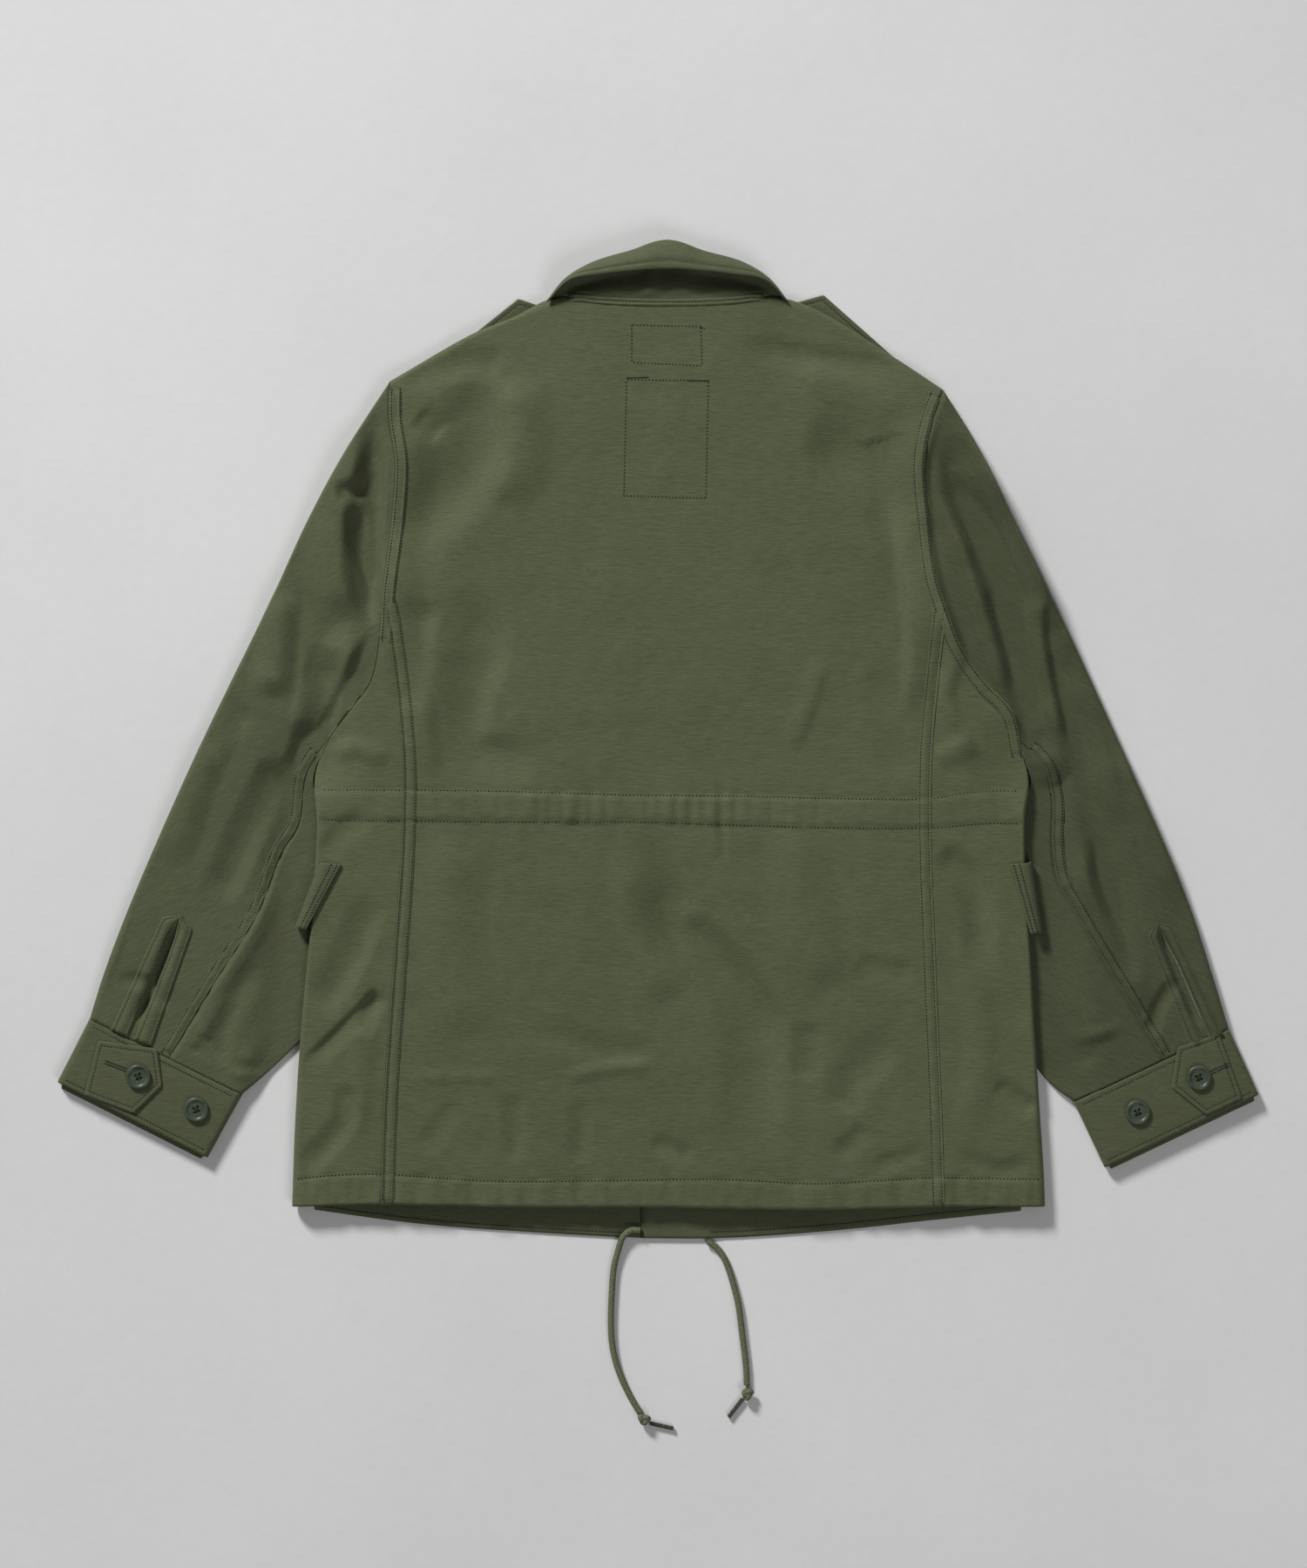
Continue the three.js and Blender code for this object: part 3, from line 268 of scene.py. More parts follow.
def catmull(points, per=24):
    """Centripetal Catmull-Rom through the points, as a dense line."""
    p = np.array(points, float)
    p = np.vstack([2 * p[0] - p[1], p, 2 * p[-1] - p[-2]])
    out = []
    for k in range(1, len(p) - 2):
        p0, p1, p2, p3 = p[k - 1:k + 3]
        d0, d1, d2 = (max(np.linalg.norm(b - a) ** 0.5, 1e-4) for a, b in ((p0, p1), (p1, p2), (p2, p3)))
        t1 = ((p1 - p0) / d0 - (p2 - p0) / (d0 + d1) + (p2 - p1) / d1) * d1
        t2 = ((p2 - p1) / d1 - (p3 - p1) / (d1 + d2) + (p3 - p2) / d2) * d1
        t = np.linspace(0, 1, per, endpoint=False)[:, None]
        c2 = -3 * p1 + 3 * p2 - 2 * t1 - t2
        c3 = 2 * p1 - 2 * p2 + t1 + t2
        out.append(p1 + t1 * t + c2 * t ** 2 + c3 * t ** 3)
    return np.vstack(out + [p[-2:-1]])


def run(p):
    """Distance run at each point of a line."""
    return np.concatenate([[0], np.cumsum(np.linalg.norm(np.diff(p, axis=0), axis=1))])


def along(s, d, p):
    """Points at the distances s of a line of points p, with their distances d."""
    return np.stack([np.interp(s, d, p[:, k]) for k in range(p.shape[1])], -1)


def steps(a, b, count):
    return np.array(a) + (np.array(b) - np.array(a)) * np.linspace(0, 1, count)[:, None]


class Line:
    """A curve that gives points at distances along it, moved to the left of its direction."""

    def __init__(self, points):
        self.p = catmull(points)
        self.d = run(self.p)
        self.length = self.d[-1]

    def at(self, distance, shift=0.0):
        s = np.clip(np.atleast_1d(distance), 0, self.length)
        out = along(s, self.d, self.p)
        after, before = np.minimum(s + 0.5, self.length), np.maximum(s - 0.5, 0)
        t = unit((along(after, self.d, self.p) - along(before, self.d, self.p))[:, :2])
        out[:, 0] -= t[:, 1] * shift
        out[:, 1] += t[:, 0] * shift
        return out

    def part(self, fractions, shift=0.0):
        return self.at(np.asarray(fractions) * self.length, shift)


def unit(v):
    return v / (np.linalg.norm(v, axis=-1, keepdims=True) + 1e-9)


def patch(bottom, top, left, right):
    """Grid of points between four edges that meet at their corners."""
    u = np.linspace(0, 1, len(bottom))[None, :, None]
    v = np.linspace(0, 1, len(left))[:, None, None]
    return ((1 - v) * bottom[None] + v * top[None] + (1 - u) * left[:, None] + u * right[:, None]
            - (1 - u) * (1 - v) * bottom[0] - u * (1 - v) * bottom[-1]
            - (1 - u) * v * top[0] - u * v * top[-1])


def nearest(route, x, y):
    """Distance to a route, negative on its left, and the share of the route passed."""
    best = np.full(x.shape, 1e9)
    side = np.zeros(x.shape)
    share = np.zeros(x.shape)
    r = np.array(route, float)[:, :2]
    for k in range(len(r) - 1):
        (ax, ay), (bx, by) = r[k], r[k + 1]
        dx, dy = bx - ax, by - ay
        t = np.clip(((x - ax) * dx + (y - ay) * dy) / (dx * dx + dy * dy), 0, 1)
        ex, ey = x - ax - dx * t, y - ay - dy * t
        d = np.hypot(ex, ey)
        hit = d < best
        best = np.where(hit, d, best)
        side = np.where(hit, np.sign(ex * dy - ey * dx), side)
        share = np.where(hit, (k + t) / (len(r) - 1), share)
    return best, side, share


def folds(table, x, y, rounded=True):
    """Sum of the folds' heights at each point; each fades at both ends of its route."""
    total = np.zeros(x.shape)
    for route, left, right, rise in table:
        r = np.array(route, float)
        reach = max(left, right)
        near = ((x > r[:, 0].min() - reach) & (x < r[:, 0].max() + reach)
                & (y > r[:, 1].min() - reach) & (y < r[:, 1].max() + reach))
        if not near.any():
            continue
        line = catmull(route, 5) if rounded and len(route) > 2 else r
        d, side, share = nearest(line, x[near], y[near])
        q = np.clip(d / np.where(side < 0, left, right), 0, 1)
        total[near] += rise * (1 - q * q) ** 2 * smooth(np.minimum(share, 1 - share) / 0.25 + 0.15)
    return total


def window(v, span, ramp):
    return smooth((v - span[0]) / ramp + 1) * smooth((span[1] - v) / ramp + 1)


def rise_over(table, x, y):
    return sum(rise * window(x, xs, ramp) * window(y, ys, ramp) for xs, ys, ramp, rise in table)


def body_base(x, y):
    return rise_over(SLEEVES_BELOW, x, y) + rise_over(STRAPS_BELOW, x, y)


def sleeve_base(x, y):
    return rise_over(STRAPS_BELOW[:1], x, y)


def plain_top(x, y):
    """The upper layer without its smaller folds."""
    h = LOFT - SHOULDER_DIP * smooth((y - 270) / 40) * smooth((np.abs(x - 9) - 50) / 60)
    for table in SIDES.values():
        ux, uy = table["side"][0]
        h = h - UNDERARM_DIP * (1 - smooth(np.hypot(x - ux, y - uy) / 45))
    return h + folds(MAIN_FOLDS, x, y, rounded=False)


def kept_up(h):
    return LOWEST + np.logaddexp(0, (h - LOWEST) * SOFTNESS) / SOFTNESS


def waves(x, y, size, seed):
    """Soft uneven ripples, the same each run."""
    rng = np.random.default_rng(seed)
    total = np.zeros(x.shape)
    for _ in range(9):
        angle = rng.uniform(0, math.pi)
        length = size * rng.uniform(0.6, 1.7)
        phase = rng.uniform(0, 6.28)
        total += np.sin((x * math.cos(angle) + y * math.sin(angle)) * 6.283 / length + phase)
    return total / 9


def rows_near(row, x, y):
    """Height difference from a row of stitches at each point."""
    r = np.array(row, float)
    return y - np.interp(x, r[:, 0], r[:, 1])


def detail(x, y):
    """Smaller folds, the waist channel and the hem of the back."""
    h = BACK_RELIEF * folds(BACK_FOLDS, x, y)
    h += 0.6 * waves(x, y, 60, 3) + 0.3 * waves(x, y, 24, 4)
    up, low = rows_near(CHANNEL["upper"], x, y), rows_near(CHANNEL["lower"], x, y)
    inside = smooth((2 - up) / 4) * smooth((low + 2) / 4)
    middle = smooth((x + 150) / 60) * smooth((150 - x) / 60)
    pucker = np.abs(waves(x, 0 * y + 40, 17, 7)) ** 0.7 * 2.2 + 0.6 * waves(x, y, 30, 9)
    h += inside * (0.7 + (0.35 + 0.9 * middle) * pucker)
    near = np.exp(-(up / 9) ** 2) + np.exp(-(low / 9) ** 2)
    h += (0.25 + 0.35 * middle) * near * waves(x, y * 0.3, 15, 8)
    for d in (up, low):
        h -= 0.75 * np.exp(-(d / 1.7) ** 2)
    d = rows_near(HEM_ROW, x, y)
    below = smooth((3 - d) / 5)
    h += below * (0.6 + 1.5 * waves(x, y * 0.5, 30, 11) + 1.0 * waves(x, y * 0.35, 13, 12))
    h -= 0.7 * np.exp(-(d / 1.8) ** 2)
    h += 0.6 * np.exp(-(d / 10) ** 2) * waves(x, y * 0.3, 16, 13)
    return h


def top_height(x, y):
    shoulder = smooth((330 - y) / 24 + 0.2)
    return kept_up(plain_top(x, y) + detail(x, y) * np.clip(0.35 + shoulder, 0, 1))


# ---------- mesh making ----------
def add(name, data):
    obj = bpy.data.objects.new(name, data)
    bpy.context.scene.collection.objects.link(obj)
    return obj


def new_object(name, verts, faces):
    mesh = bpy.data.meshes.new(name)
    mesh.from_pydata([tuple(v) for v in np.asarray(verts) * MM], [], [tuple(int(i) for i in f) for f in faces])
    mesh.update()
    mesh.shade_smooth()
    return add(name, mesh)


def grid_faces(rows, cols, ring=False):
    r, c = np.meshgrid(np.arange(rows - 1), np.arange(cols if ring else cols - 1), indexing="ij")
    d = (c + 1) % cols
    f = np.stack([r * cols + c, r * cols + d, (r + 1) * cols + d, (r + 1) * cols + c], -1)
    return f.reshape(-1, 4)


def shell(name, at, inward, thickness, ring=False):
    """Closed thin wall from a grid of outer points and the directions to its inner face."""
    rows, cols = at.shape[:2]
    n = rows * cols
    verts = np.concatenate([at.reshape(-1, 3), (at + inward * thickness).reshape(-1, 3)])
    outer = grid_faces(rows, cols, ring)
    inner = outer[:, ::-1] + n
    if ring:
        last = (rows - 1) * cols
        borders = [list(range(cols)) + [0], [last + k for k in reversed(range(cols))] + [last + cols - 1]]
    else:
        borders = [list(range(cols)) + [r * cols + cols - 1 for r in range(1, rows)]
                   + [(rows - 1) * cols + c for c in range(cols - 2, -1, -1)]
                   + [r * cols for r in range(rows - 2, -1, -1)]]
    sides = [(b, a, a + n, b + n) for line in borders for a, b in zip(line[:-1], line[1:])]
    return face_out(new_object(name, verts, np.concatenate([outer, inner, np.array(sides)])))


def coordinates(mesh):
    co = np.empty(len(mesh.vertices) * 3)
    mesh.vertices.foreach_get("co", co)
    return co.reshape(-1, 3)


def face_out(obj):
    """Turns a closed mesh's faces so that they point out."""
    mesh = obj.data
    mesh.calc_loop_triangles()
    v = coordinates(mesh)
    t = np.empty(len(mesh.loop_triangles) * 3, int)
    mesh.loop_triangles.foreach_get("vertices", t)
    a, b, c = (v[t.reshape(-1, 3)[:, k]] for k in range(3))
    if np.einsum("ij,ij->i", a, np.cross(b, c)).sum() < 0:
        mesh.flip_normals()
    return obj


def capped(name, at, first, last):
    """Closed mesh of rings of points, with a fan to one point at each end."""
    n, k = at.shape[:2]
    verts = np.concatenate([at.reshape(-1, 3), first, last])
    faces = [list(f) for f in grid_faces(n, k, ring=True)]
    faces += [[n * k, (c + 1) % k, c] for c in range(k)]
    faces += [[n * k + 1, (n - 1) * k + c, (n - 1) * k + (c + 1) % k] for c in range(k)]
    return face_out(new_object(name, verts, faces))


def raised(p, z):
    """Flat points given their heights."""
    return np.concatenate([p, np.broadcast_to(z, p.shape[:-1])[..., None]], -1)


def upper(p, h, way=-1.0):
    """Points of an upper face, with the directions to its inner face."""
    at = raised(p, h)
    return at, np.broadcast_to(np.array([0, 0, way]), at.shape).copy()


def lower(p, h):
    return upper(p, h, 1.0)


def nose(tip, inside, low, high):
    """Columns of points round a fold, for each row of tips."""
    radius = ((high - low) / 2)[:, None]
    cos, sin = np.cos(NOSE)[None], np.sin(NOSE)[None]
    reach = radius * (1 - cos)
    at = np.stack([tip[:, :1] + inside[:, :1] * reach, tip[:, 1:2] + inside[:, 1:2] * reach,
                   low[:, None] + radius + radius * sin], -1)
    ones = np.ones_like(reach)
    inward = np.stack([inside[:, :1] * cos, inside[:, 1:2] * cos, -sin * ones], -1)
    return at, inward


def join_columns(*parts):
    return np.concatenate([p[0] for p in parts], 1), np.concatenate([p[1] for p in parts], 1)


# ---------- materials ----------
def material(name, build):
    m = bpy.data.materials.new(name)
    m.use_nodes = True
    nodes, links = m.node_tree.nodes, m.node_tree.links
    shader = nodes["Principled BSDF"]

    def node(kind, **values):
        n = nodes.new(kind)
        for key, value in values.items():
            if key.startswith("_"):
                setattr(n, key[1:], value)
            else:
                n.inputs[key.replace("__", " ")].default_value = value
        return n

    def link(a, out, b, into):
        links.new(a.outputs[out], b.inputs[into])
    build(node, link, shader)
    return m


def weighted(node, link, terms, start=0.0):
    """Weighted sum of noises, as a chain of multiply-add nodes."""
    last = None
    for source, share in terms:
        step = node("ShaderNodeMath", _operation="MULTIPLY_ADD")
        step.inputs[1].default_value = share
        step.inputs[2].default_value = start
        link(source, "Fac", step, 0)
        if last:
            link(last, "Value", step, 2)
        last = step
    return last


def colour_ramp(node, low, dark, high, light):
    ramp = node("ShaderNodeValToRGB")
    for stop, place, colour in zip(ramp.color_ramp.elements, (low, high), (dark, light)):
        stop.position, stop.color = place, (*colour, 1)
    return ramp


def cloth_material(name, dark, light, turn=0.0, sheen=0.25, rough=0.7, slub=1.0):
    """Cotton sateen: slubs across the piece, a fine diagonal weave, soft fading and sheen."""
    def build(node, link, shader):
        place = node("ShaderNodeTexCoord")
        rotate = node("ShaderNodeMapping")
        rotate.inputs["Rotation"].default_value = (0, 0, turn)
        link(place, "Object", rotate, "Vector")

        def stretched(scale, detail, size):
            m = node("ShaderNodeMapping")
            m.inputs["Scale"].default_value = scale
            link(rotate, "Vector", m, "Vector")
            n = node("ShaderNodeTexNoise", Scale=size, Detail=detail, Roughness=0.6)
            link(m, "Vector", n, "Vector")
            return n
        streak = stretched((0.10, 1.0, 0.4), 3, 1150)
        slubs = stretched((0.09, 1.0, 0.5), 2, 700)
        fade = stretched((1, 1, 1), 4, 9)
        weave = node("ShaderNodeTexWave", _wave_type="BANDS", _bands_direction="DIAGONAL", Scale=620,
                     Distortion=1.2, Detail=1)
        link(rotate, "Vector", weave, "Vector")
        grain = stretched((0.7, 1, 1), 2, 1500)
        terms = ((streak, 0.8 * slub), (slubs, 0.28), (fade, 0.24), (grain, 0.36))
        middle = 0.5 - sum(share for _, share in terms) / 2
        total = weighted(node, link, terms, start=middle)
        ramp = colour_ramp(node, 0.3, dark, 0.7, light)
        link(total, "Value", ramp, "Fac")
        link(ramp, "Color", shader, "Base Color")
        gloss = node("ShaderNodeMapRange", From__Min=0.3, From__Max=0.7,
                     To__Min=rough - 0.07, To__Max=rough + 0.08)
        link(slubs, "Fac", gloss, "Value")
        link(gloss, "Result", shader, "Roughness")
        relief = weighted(node, link, ((streak, 1.0), (weave, 0.35), (grain, 0.5)))
        bump = node("ShaderNodeBump", Strength=0.45, Distance=0.0006)
        link(relief, "Value", bump, "Height")
        link(bump, "Normal", shader, "Normal")
        shader.inputs["Specular IOR Level"].default_value = 0.2
        shader.inputs["Sheen Weight"].default_value = sheen
        shader.inputs["Sheen Roughness"].default_value = 0.35
        shader.inputs["Sheen Tint"].default_value = (0.72, 0.8, 0.6, 1)
    return material(name, build)


def plain_material(name, dark, light, scale, rough, metallic=0.0, strength=0.2, specular=0.5):
    """Plain stuff with a fine grain in its colour, gloss and relief."""
    def build(node, link, shader):
        place = node("ShaderNodeTexCoord")
        noise = node("ShaderNodeTexNoise", Scale=scale, Detail=5, Roughness=0.6)
        link(place, "Object", noise, "Vector")
        ramp = colour_ramp(node, 0.35, dark, 0.68, light)
        link(noise, "Fac", ramp, "Fac")
        link(ramp, "Color", shader, "Base Color")
        gloss = node("ShaderNodeMapRange", To__Min=rough - 0.08, To__Max=rough + 0.1)
        link(noise, "Fac", gloss, "Value")
        link(gloss, "Result", shader, "Roughness")
        bump = node("ShaderNodeBump", Strength=strength, Distance=0.0004)
        link(noise, "Fac", bump, "Height")
        link(bump, "Normal", shader, "Normal")
        shader.inputs["Metallic"].default_value = metallic
        shader.inputs["Specular IOR Level"].default_value = specular
    return material(name, build)


OLIVE_DARK, OLIVE_LIGHT = (0.063, 0.074, 0.036), (0.101, 0.114, 0.060)
body_cloth = cloth_material("olive sateen", OLIVE_DARK, OLIVE_LIGHT)
# painted shade: each sleeve's cloth is the body's olive mixed darker by its side's factor, the right sleeve most
sleeve_cloth = {name: cloth_material(f"olive sateen sleeve with painted shade {name}", *[tuple(t["tone"] * q for q in colour)
                                                                      for colour in (OLIVE_DARK, OLIVE_LIGHT)],
                                     turn=-t["grain"]) for name, t in SIDES.items()}
inner_cloth = cloth_material("olive sateen inner face", (0.058, 0.067, 0.034), (0.086, 0.098, 0.053), sheen=0.15,
                             rough=0.8)
trim_cloth = cloth_material("olive sateen trim", (0.055, 0.064, 0.032), (0.087, 0.098, 0.052), slub=0.8)
thread = plain_material("dark green thread", (0.008, 0.010, 0.006), (0.016, 0.020, 0.011), 900, 0.8)
button_plastic = plain_material("olive button plastic", (0.036, 0.050, 0.032), (0.056, 0.074, 0.048), 160, 0.36,
                                strength=0.05, specular=0.3)
cord_cloth = plain_material("olive braided cord", (0.068, 0.082, 0.042), (0.125, 0.14, 0.075), 700, 0.82,
                            strength=0.5)
tip_metal = plain_material("dark painted metal", (0.03, 0.034, 0.022), (0.07, 0.075, 0.055), 420, 0.4,
                           metallic=0.6, strength=0.3)


def finish_piece(obj, mat, nodes=()):
    """Gives a piece its material, slot and body, and hides the parts of the CAD model that it replaces."""
    obj.data.materials.append(mat)
    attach(obj, "root")
    if nodes:
        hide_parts(*nodes)
    return obj


# ---------- camera ----------
lens_data = bpy.data.cameras.new("camera")
camera = add("camera", lens_data)
LENS, SENSOR = 85, 36
VIEW_HEIGHT, VIEW_PLANE = 1.26, 0.012        # metres shown top to bottom, and the height where they are
lens_data.lens, lens_data.sensor_width = LENS, SENSOR
camera.location = (-2.1 * MM, -34.3 * MM, VIEW_HEIGHT * LENS / SENSOR + VIEW_PLANE)
lens_data.dof.use_dof = False
bpy.context.scene.camera = camera
bpy.context.scene.view_settings.view_transform = "Standard"


# ---------- drawcords ----------
def frames(path):
    """Tangent and two side directions along a path."""
    t = unit(np.gradient(path, axis=0))
    side = unit(np.cross(t, np.array([0, 0, 1.0])))
    return t, side, np.cross(side, t)


def tube(name, path, radius, sides=20, braid=0.0, pitch=4.2):
    t, side, up = frames(path)
    s = run(path)[:, None]
    angle = np.linspace(0, 2 * math.pi, sides, endpoint=False)[None]
    r = np.broadcast_to(np.asarray(radius, float).reshape(-1, 1), (len(path), 1))
    one = np.sin(4 * angle + 6.283 * s / pitch)
    two = np.sin(4 * angle - 6.283 * s / pitch)
    r = r * (1 + braid * np.maximum(one, two) - braid * 0.6)
    round_it = np.cos(angle)[..., None] * side[:, None] + np.sin(angle)[..., None] * up[:, None]
    at = path[:, None] + r[..., None] * round_it
    return capped(name, at, path[:1], path[-1:])


def overhand_knot(name, centre, direction, size, radius):
    """A cord's overhand knot, pulled tight."""
    a = np.linspace(0, 2 * math.pi, 120)
    loop = np.stack([np.sin(a) + 2 * np.sin(2 * a), np.cos(a) - 2 * np.cos(2 * a), -np.sin(3 * a) * 1.3], -1) / 3
    d = unit(np.array([*direction, 0.0]))
    turn = np.array([[d[0], -d[1], 0], [d[1], d[0], 0], [0, 0, 1]])
    path = (loop * np.array([1.15, 0.9, 0.8]) * size) @ turn.T + np.array(centre)
    return tube(name, path, radius, sides=14, braid=0.07)


for side_name, c in CORDS.items():
    line = Line(c["route"])
    path = line.at(np.arange(0, line.length, 0.7))
    drawcord = tube(f"drawcord_{side_name}", path, 2.5, sides=24, braid=0.10)
    finish_piece(drawcord, cord_cloth, [f"hem_cord_{side_name}"])
    tip_a, tip_b = (np.array(p) for p in c["tip"])
    knot = overhand_knot(f"knot_{side_name}", c["knot"], (tip_b - tip_a)[:2], 3.3, 2.0)
    finish_piece(knot, cord_cloth, [f"cord_knot_{side_name}"])
    s = np.linspace(0, 1, 60)[:, None]
    ridge = 1.7 - 0.22 * (np.abs(s[:, 0] - 0.55) < 0.03) - 0.22 * (np.abs(s[:, 0] - 0.8) < 0.03)
    ridge[0], ridge[-1] = 1.2, 1.3
    tip = tube(f"metal_tip_{side_name}", tip_a + (tip_b - tip_a) * s, ridge, sides=20)
    finish_piece(tip, tip_metal, [f"cord_tip_{side_name}"])
    [[q * MM for q in p] for p in line.at(np.linspace(0, line.length, 36))]


# ---------- body ----------
def spread(start, end, step=MESH):
    return np.linspace(start, end, max(int(round(abs(end - start) / step)), 1) + 1)


def side_lines(table):
    """Seams of one side, and the distances along them where the mesh has its rows."""
    arm = Line(table["armhole"])
    (sx, sy), (ux, uy) = arm.at(0)[0], arm.at(arm.length)[0]
    sx, sy, ux, uy = (np.array([q]) for q in (sx, sy, ux, uy))
    shoulder = float(((plain_top(sx, sy) - sleeve_base(sx, sy)) / 2)[0])
    under = float((plain_top(ux, uy) / 2)[0])
    seam_end = arm.length - 13
    princess = Line(table["princess"])
    y = princess.part(np.linspace(0, 1, 400))[:, 1]
    density = 1 + 0.9 * sum(np.exp(-((y + place) / width) ** 2) for place, width in ((41, 7), (66, 7), (350, 8)))
    total = np.concatenate([[0], np.cumsum((density[1:] + density[:-1]) / 2)])
    count = int(round(princess.length / MESH * density.mean()))
    rows = np.interp(np.linspace(0, total[-1], count + 1), total, np.linspace(0, 1, 400))
    return dict(arm=arm, princess=princess, side=Line(table["side"]), shoulder=shoulder, under=under,
                seam_end=seam_end, rows=rows, shift=-table["sign"] * GAP / 2,
                upper=spread(shoulder, table["branch"]),
                lower=np.concatenate([spread(table["branch"], seam_end),
                                      spread(seam_end, arm.length - under)[1:]]),
                front=spread(shoulder, arm.length - under - SIDE_WRAP, 4))


LINES = {name: side_lines(t) for name, t in SIDES.items()}
# both princess seams and both upper armholes share one number of rows
counts = [np.linspace(0, 1, len(LINES[name]["rows"])) for name in ("left", "right")]
LINES["right"]["rows"] = np.interp(*counts, LINES["right"]["rows"])
LINES["right"]["upper"] = np.linspace(LINES["right"]["shoulder"], SIDES["right"]["branch"],
                                      len(LINES["left"]["upper"]))
LINES["right"]["front"] = np.linspace(LINES["right"]["front"][0], LINES["right"]["front"][-1],
                                      len(LINES["left"]["front"]))


def middle(tip):
    return (plain_top(tip[:, 0], tip[:, 1]) + sleeve_base(tip[:, 0], tip[:, 1])) / 2


def inset_line(tips, distances):
    before = np.vstack([tips[:1], tips[:-1]])
    after = np.vstack([tips[1:], tips[-1:]])
    t = unit(after - before)
    return tips + np.stack([t[:, 1], -t[:, 0]], -1) * distances[:, None]


def curl_rows(start, tips, curls, height, flat_sign):
    """Rows that curl a panel's edge round a shoulder, or run it out flat at the neck."""
    ats, ins = [], []
    away = unit(tips - start)
    centre = middle(tips)
    high = height(start[:, 0], start[:, 1])
    facing = np.sign(high - centre)
    end = facing * GAP / 2
    for angle in np.radians(np.linspace(11, 90, 8)):
        p = start + (tips - start) * math.sin(angle)
        curled = centre + end + (high - centre - end) * math.cos(angle)
        z = np.where(curls, curled, height(p[:, 0], p[:, 1]))
        ats.append(raised(p, z))
        bent = np.stack([-away[:, 0] * math.sin(angle), -away[:, 1] * math.sin(angle),
                         -facing * math.cos(angle)], -1)
        ins.append(np.where(curls[:, None], bent, np.array([0, 0, flat_sign])))
    return np.array(ats), np.array(ins)


def back_centre():
    """Back panel between the princess seams, curled over the shoulders and flat at the neck."""
    left, right = LINES["left"], LINES["right"]
    seam = [(x + COLLAR_CENTRE, y - 3 * GAP) for x, y, _ in COLLAR["seam"]]
    neck_line = seam[::-1] + [(2 * COLLAR_CENTRE - x, y) for x, y in seam[1:]]
    n_shoulder, n_neck = 56, 68
    shoulder_l = Line(SHOULDER["left"]).part(np.linspace(0, 1, n_shoulder + 1))
    shoulder_r = Line(SHOULDER["right"][::-1]).part(np.linspace(0, 1, n_shoulder + 1))
    neck = Line(neck_line).part(np.linspace(0, 1, n_neck + 1))
    tips = np.vstack([shoulder_l[:-1], neck, shoulder_r[1:]])
    tips[0] = left["arm"].at(0, left["shift"])[0]
    tips[-1] = right["arm"].at(0, right["shift"])[0]
    k = np.arange(len(tips))
    curls = (k <= n_shoulder) | (k >= n_shoulder + n_neck)
    few = np.vstack([tips[:n_shoulder + 1:14], tips[n_shoulder:n_shoulder + n_neck + 1][::17][1:],
                     tips[n_shoulder + n_neck:][14::14]])
    few = inset_line(few, plain_top(few[:, 0], few[:, 1]) - middle(few))
    few[0] = left["arm"].at(left["shoulder"], left["shift"])[0]
    few[-1] = right["arm"].at(right["shoulder"], right["shift"])[0]
    start = np.vstack([Line(few[:5]).part(np.linspace(0, 1, n_shoulder + 1)),
                       Line(few[4:9]).part(np.linspace(0, 1, n_neck + 1))[1:],
                       Line(few[8:]).part(np.linspace(0, 1, n_shoulder + 1))[1:]])

    def edge(lines):
        low = lines["princess"].part(lines["rows"][::-1], lines["shift"])[:-1]
        return np.vstack([low, lines["arm"].at(lines["upper"][::-1], lines["shift"])])
    left_edge, right_edge = edge(left), edge(right)
    hem = Line(BACK_HEM).part(np.linspace(0, 1, len(tips)))
    hem[0], hem[-1] = left_edge[0], right_edge[0]
    flat = patch(hem, start, left_edge, right_edge)
    at, inward = upper(flat, top_height(flat[..., 0], flat[..., 1]))
    curl_at, curl_in = curl_rows(start, tips, curls, top_height, -1.0)
    return np.concatenate([at, curl_at]), np.concatenate([inward, curl_in])


def back_side(table, lines):
    """Side panel, folded round the side of the body; also the line that its seam follows in front."""
    edge = lines["princess"].part(lines["rows"], -lines["shift"])
    tips = lines["side"].part(lines["rows"])
    tips[0] = lines["arm"].at(lines["arm"].length, lines["shift"])[0]
    arm_edge = lines["arm"].at(lines["lower"], lines["shift"])
    edge[0] = arm_edge[0] + np.array([table["sign"] * GAP / 2, 0])
    inside = unit(np.vstack([arm_edge[-4:-3], edge[1:]]) - tips)
    radius = (plain_top(tips[:, 0], tips[:, 1]) - body_base(tips[:, 0], tips[:, 1])) / 2
    start = tips + inside * radius[:, None]
    hem_edge = steps(edge[-1], start[-1], len(arm_edge))
    top = patch(arm_edge, hem_edge, edge, start)
    t = np.linspace(0, 1, 5)
    wrapped = tips[:, None] + inside[:, None] * (radius[:, None] + SIDE_WRAP * t)[..., None]
    low = body_base(tips[:, 0], tips[:, 1])
    high = top_height(start[:, 0], start[:, 1])
    rows = join_columns(upper(top, top_height(top[..., 0], top[..., 1])), nose(tips, inside, low, high),
                        lower(wrapped, body_base(wrapped[..., 0], wrapped[..., 1])))
    seam = wrapped[:, -1] + inside * GAP
    return rows, seam


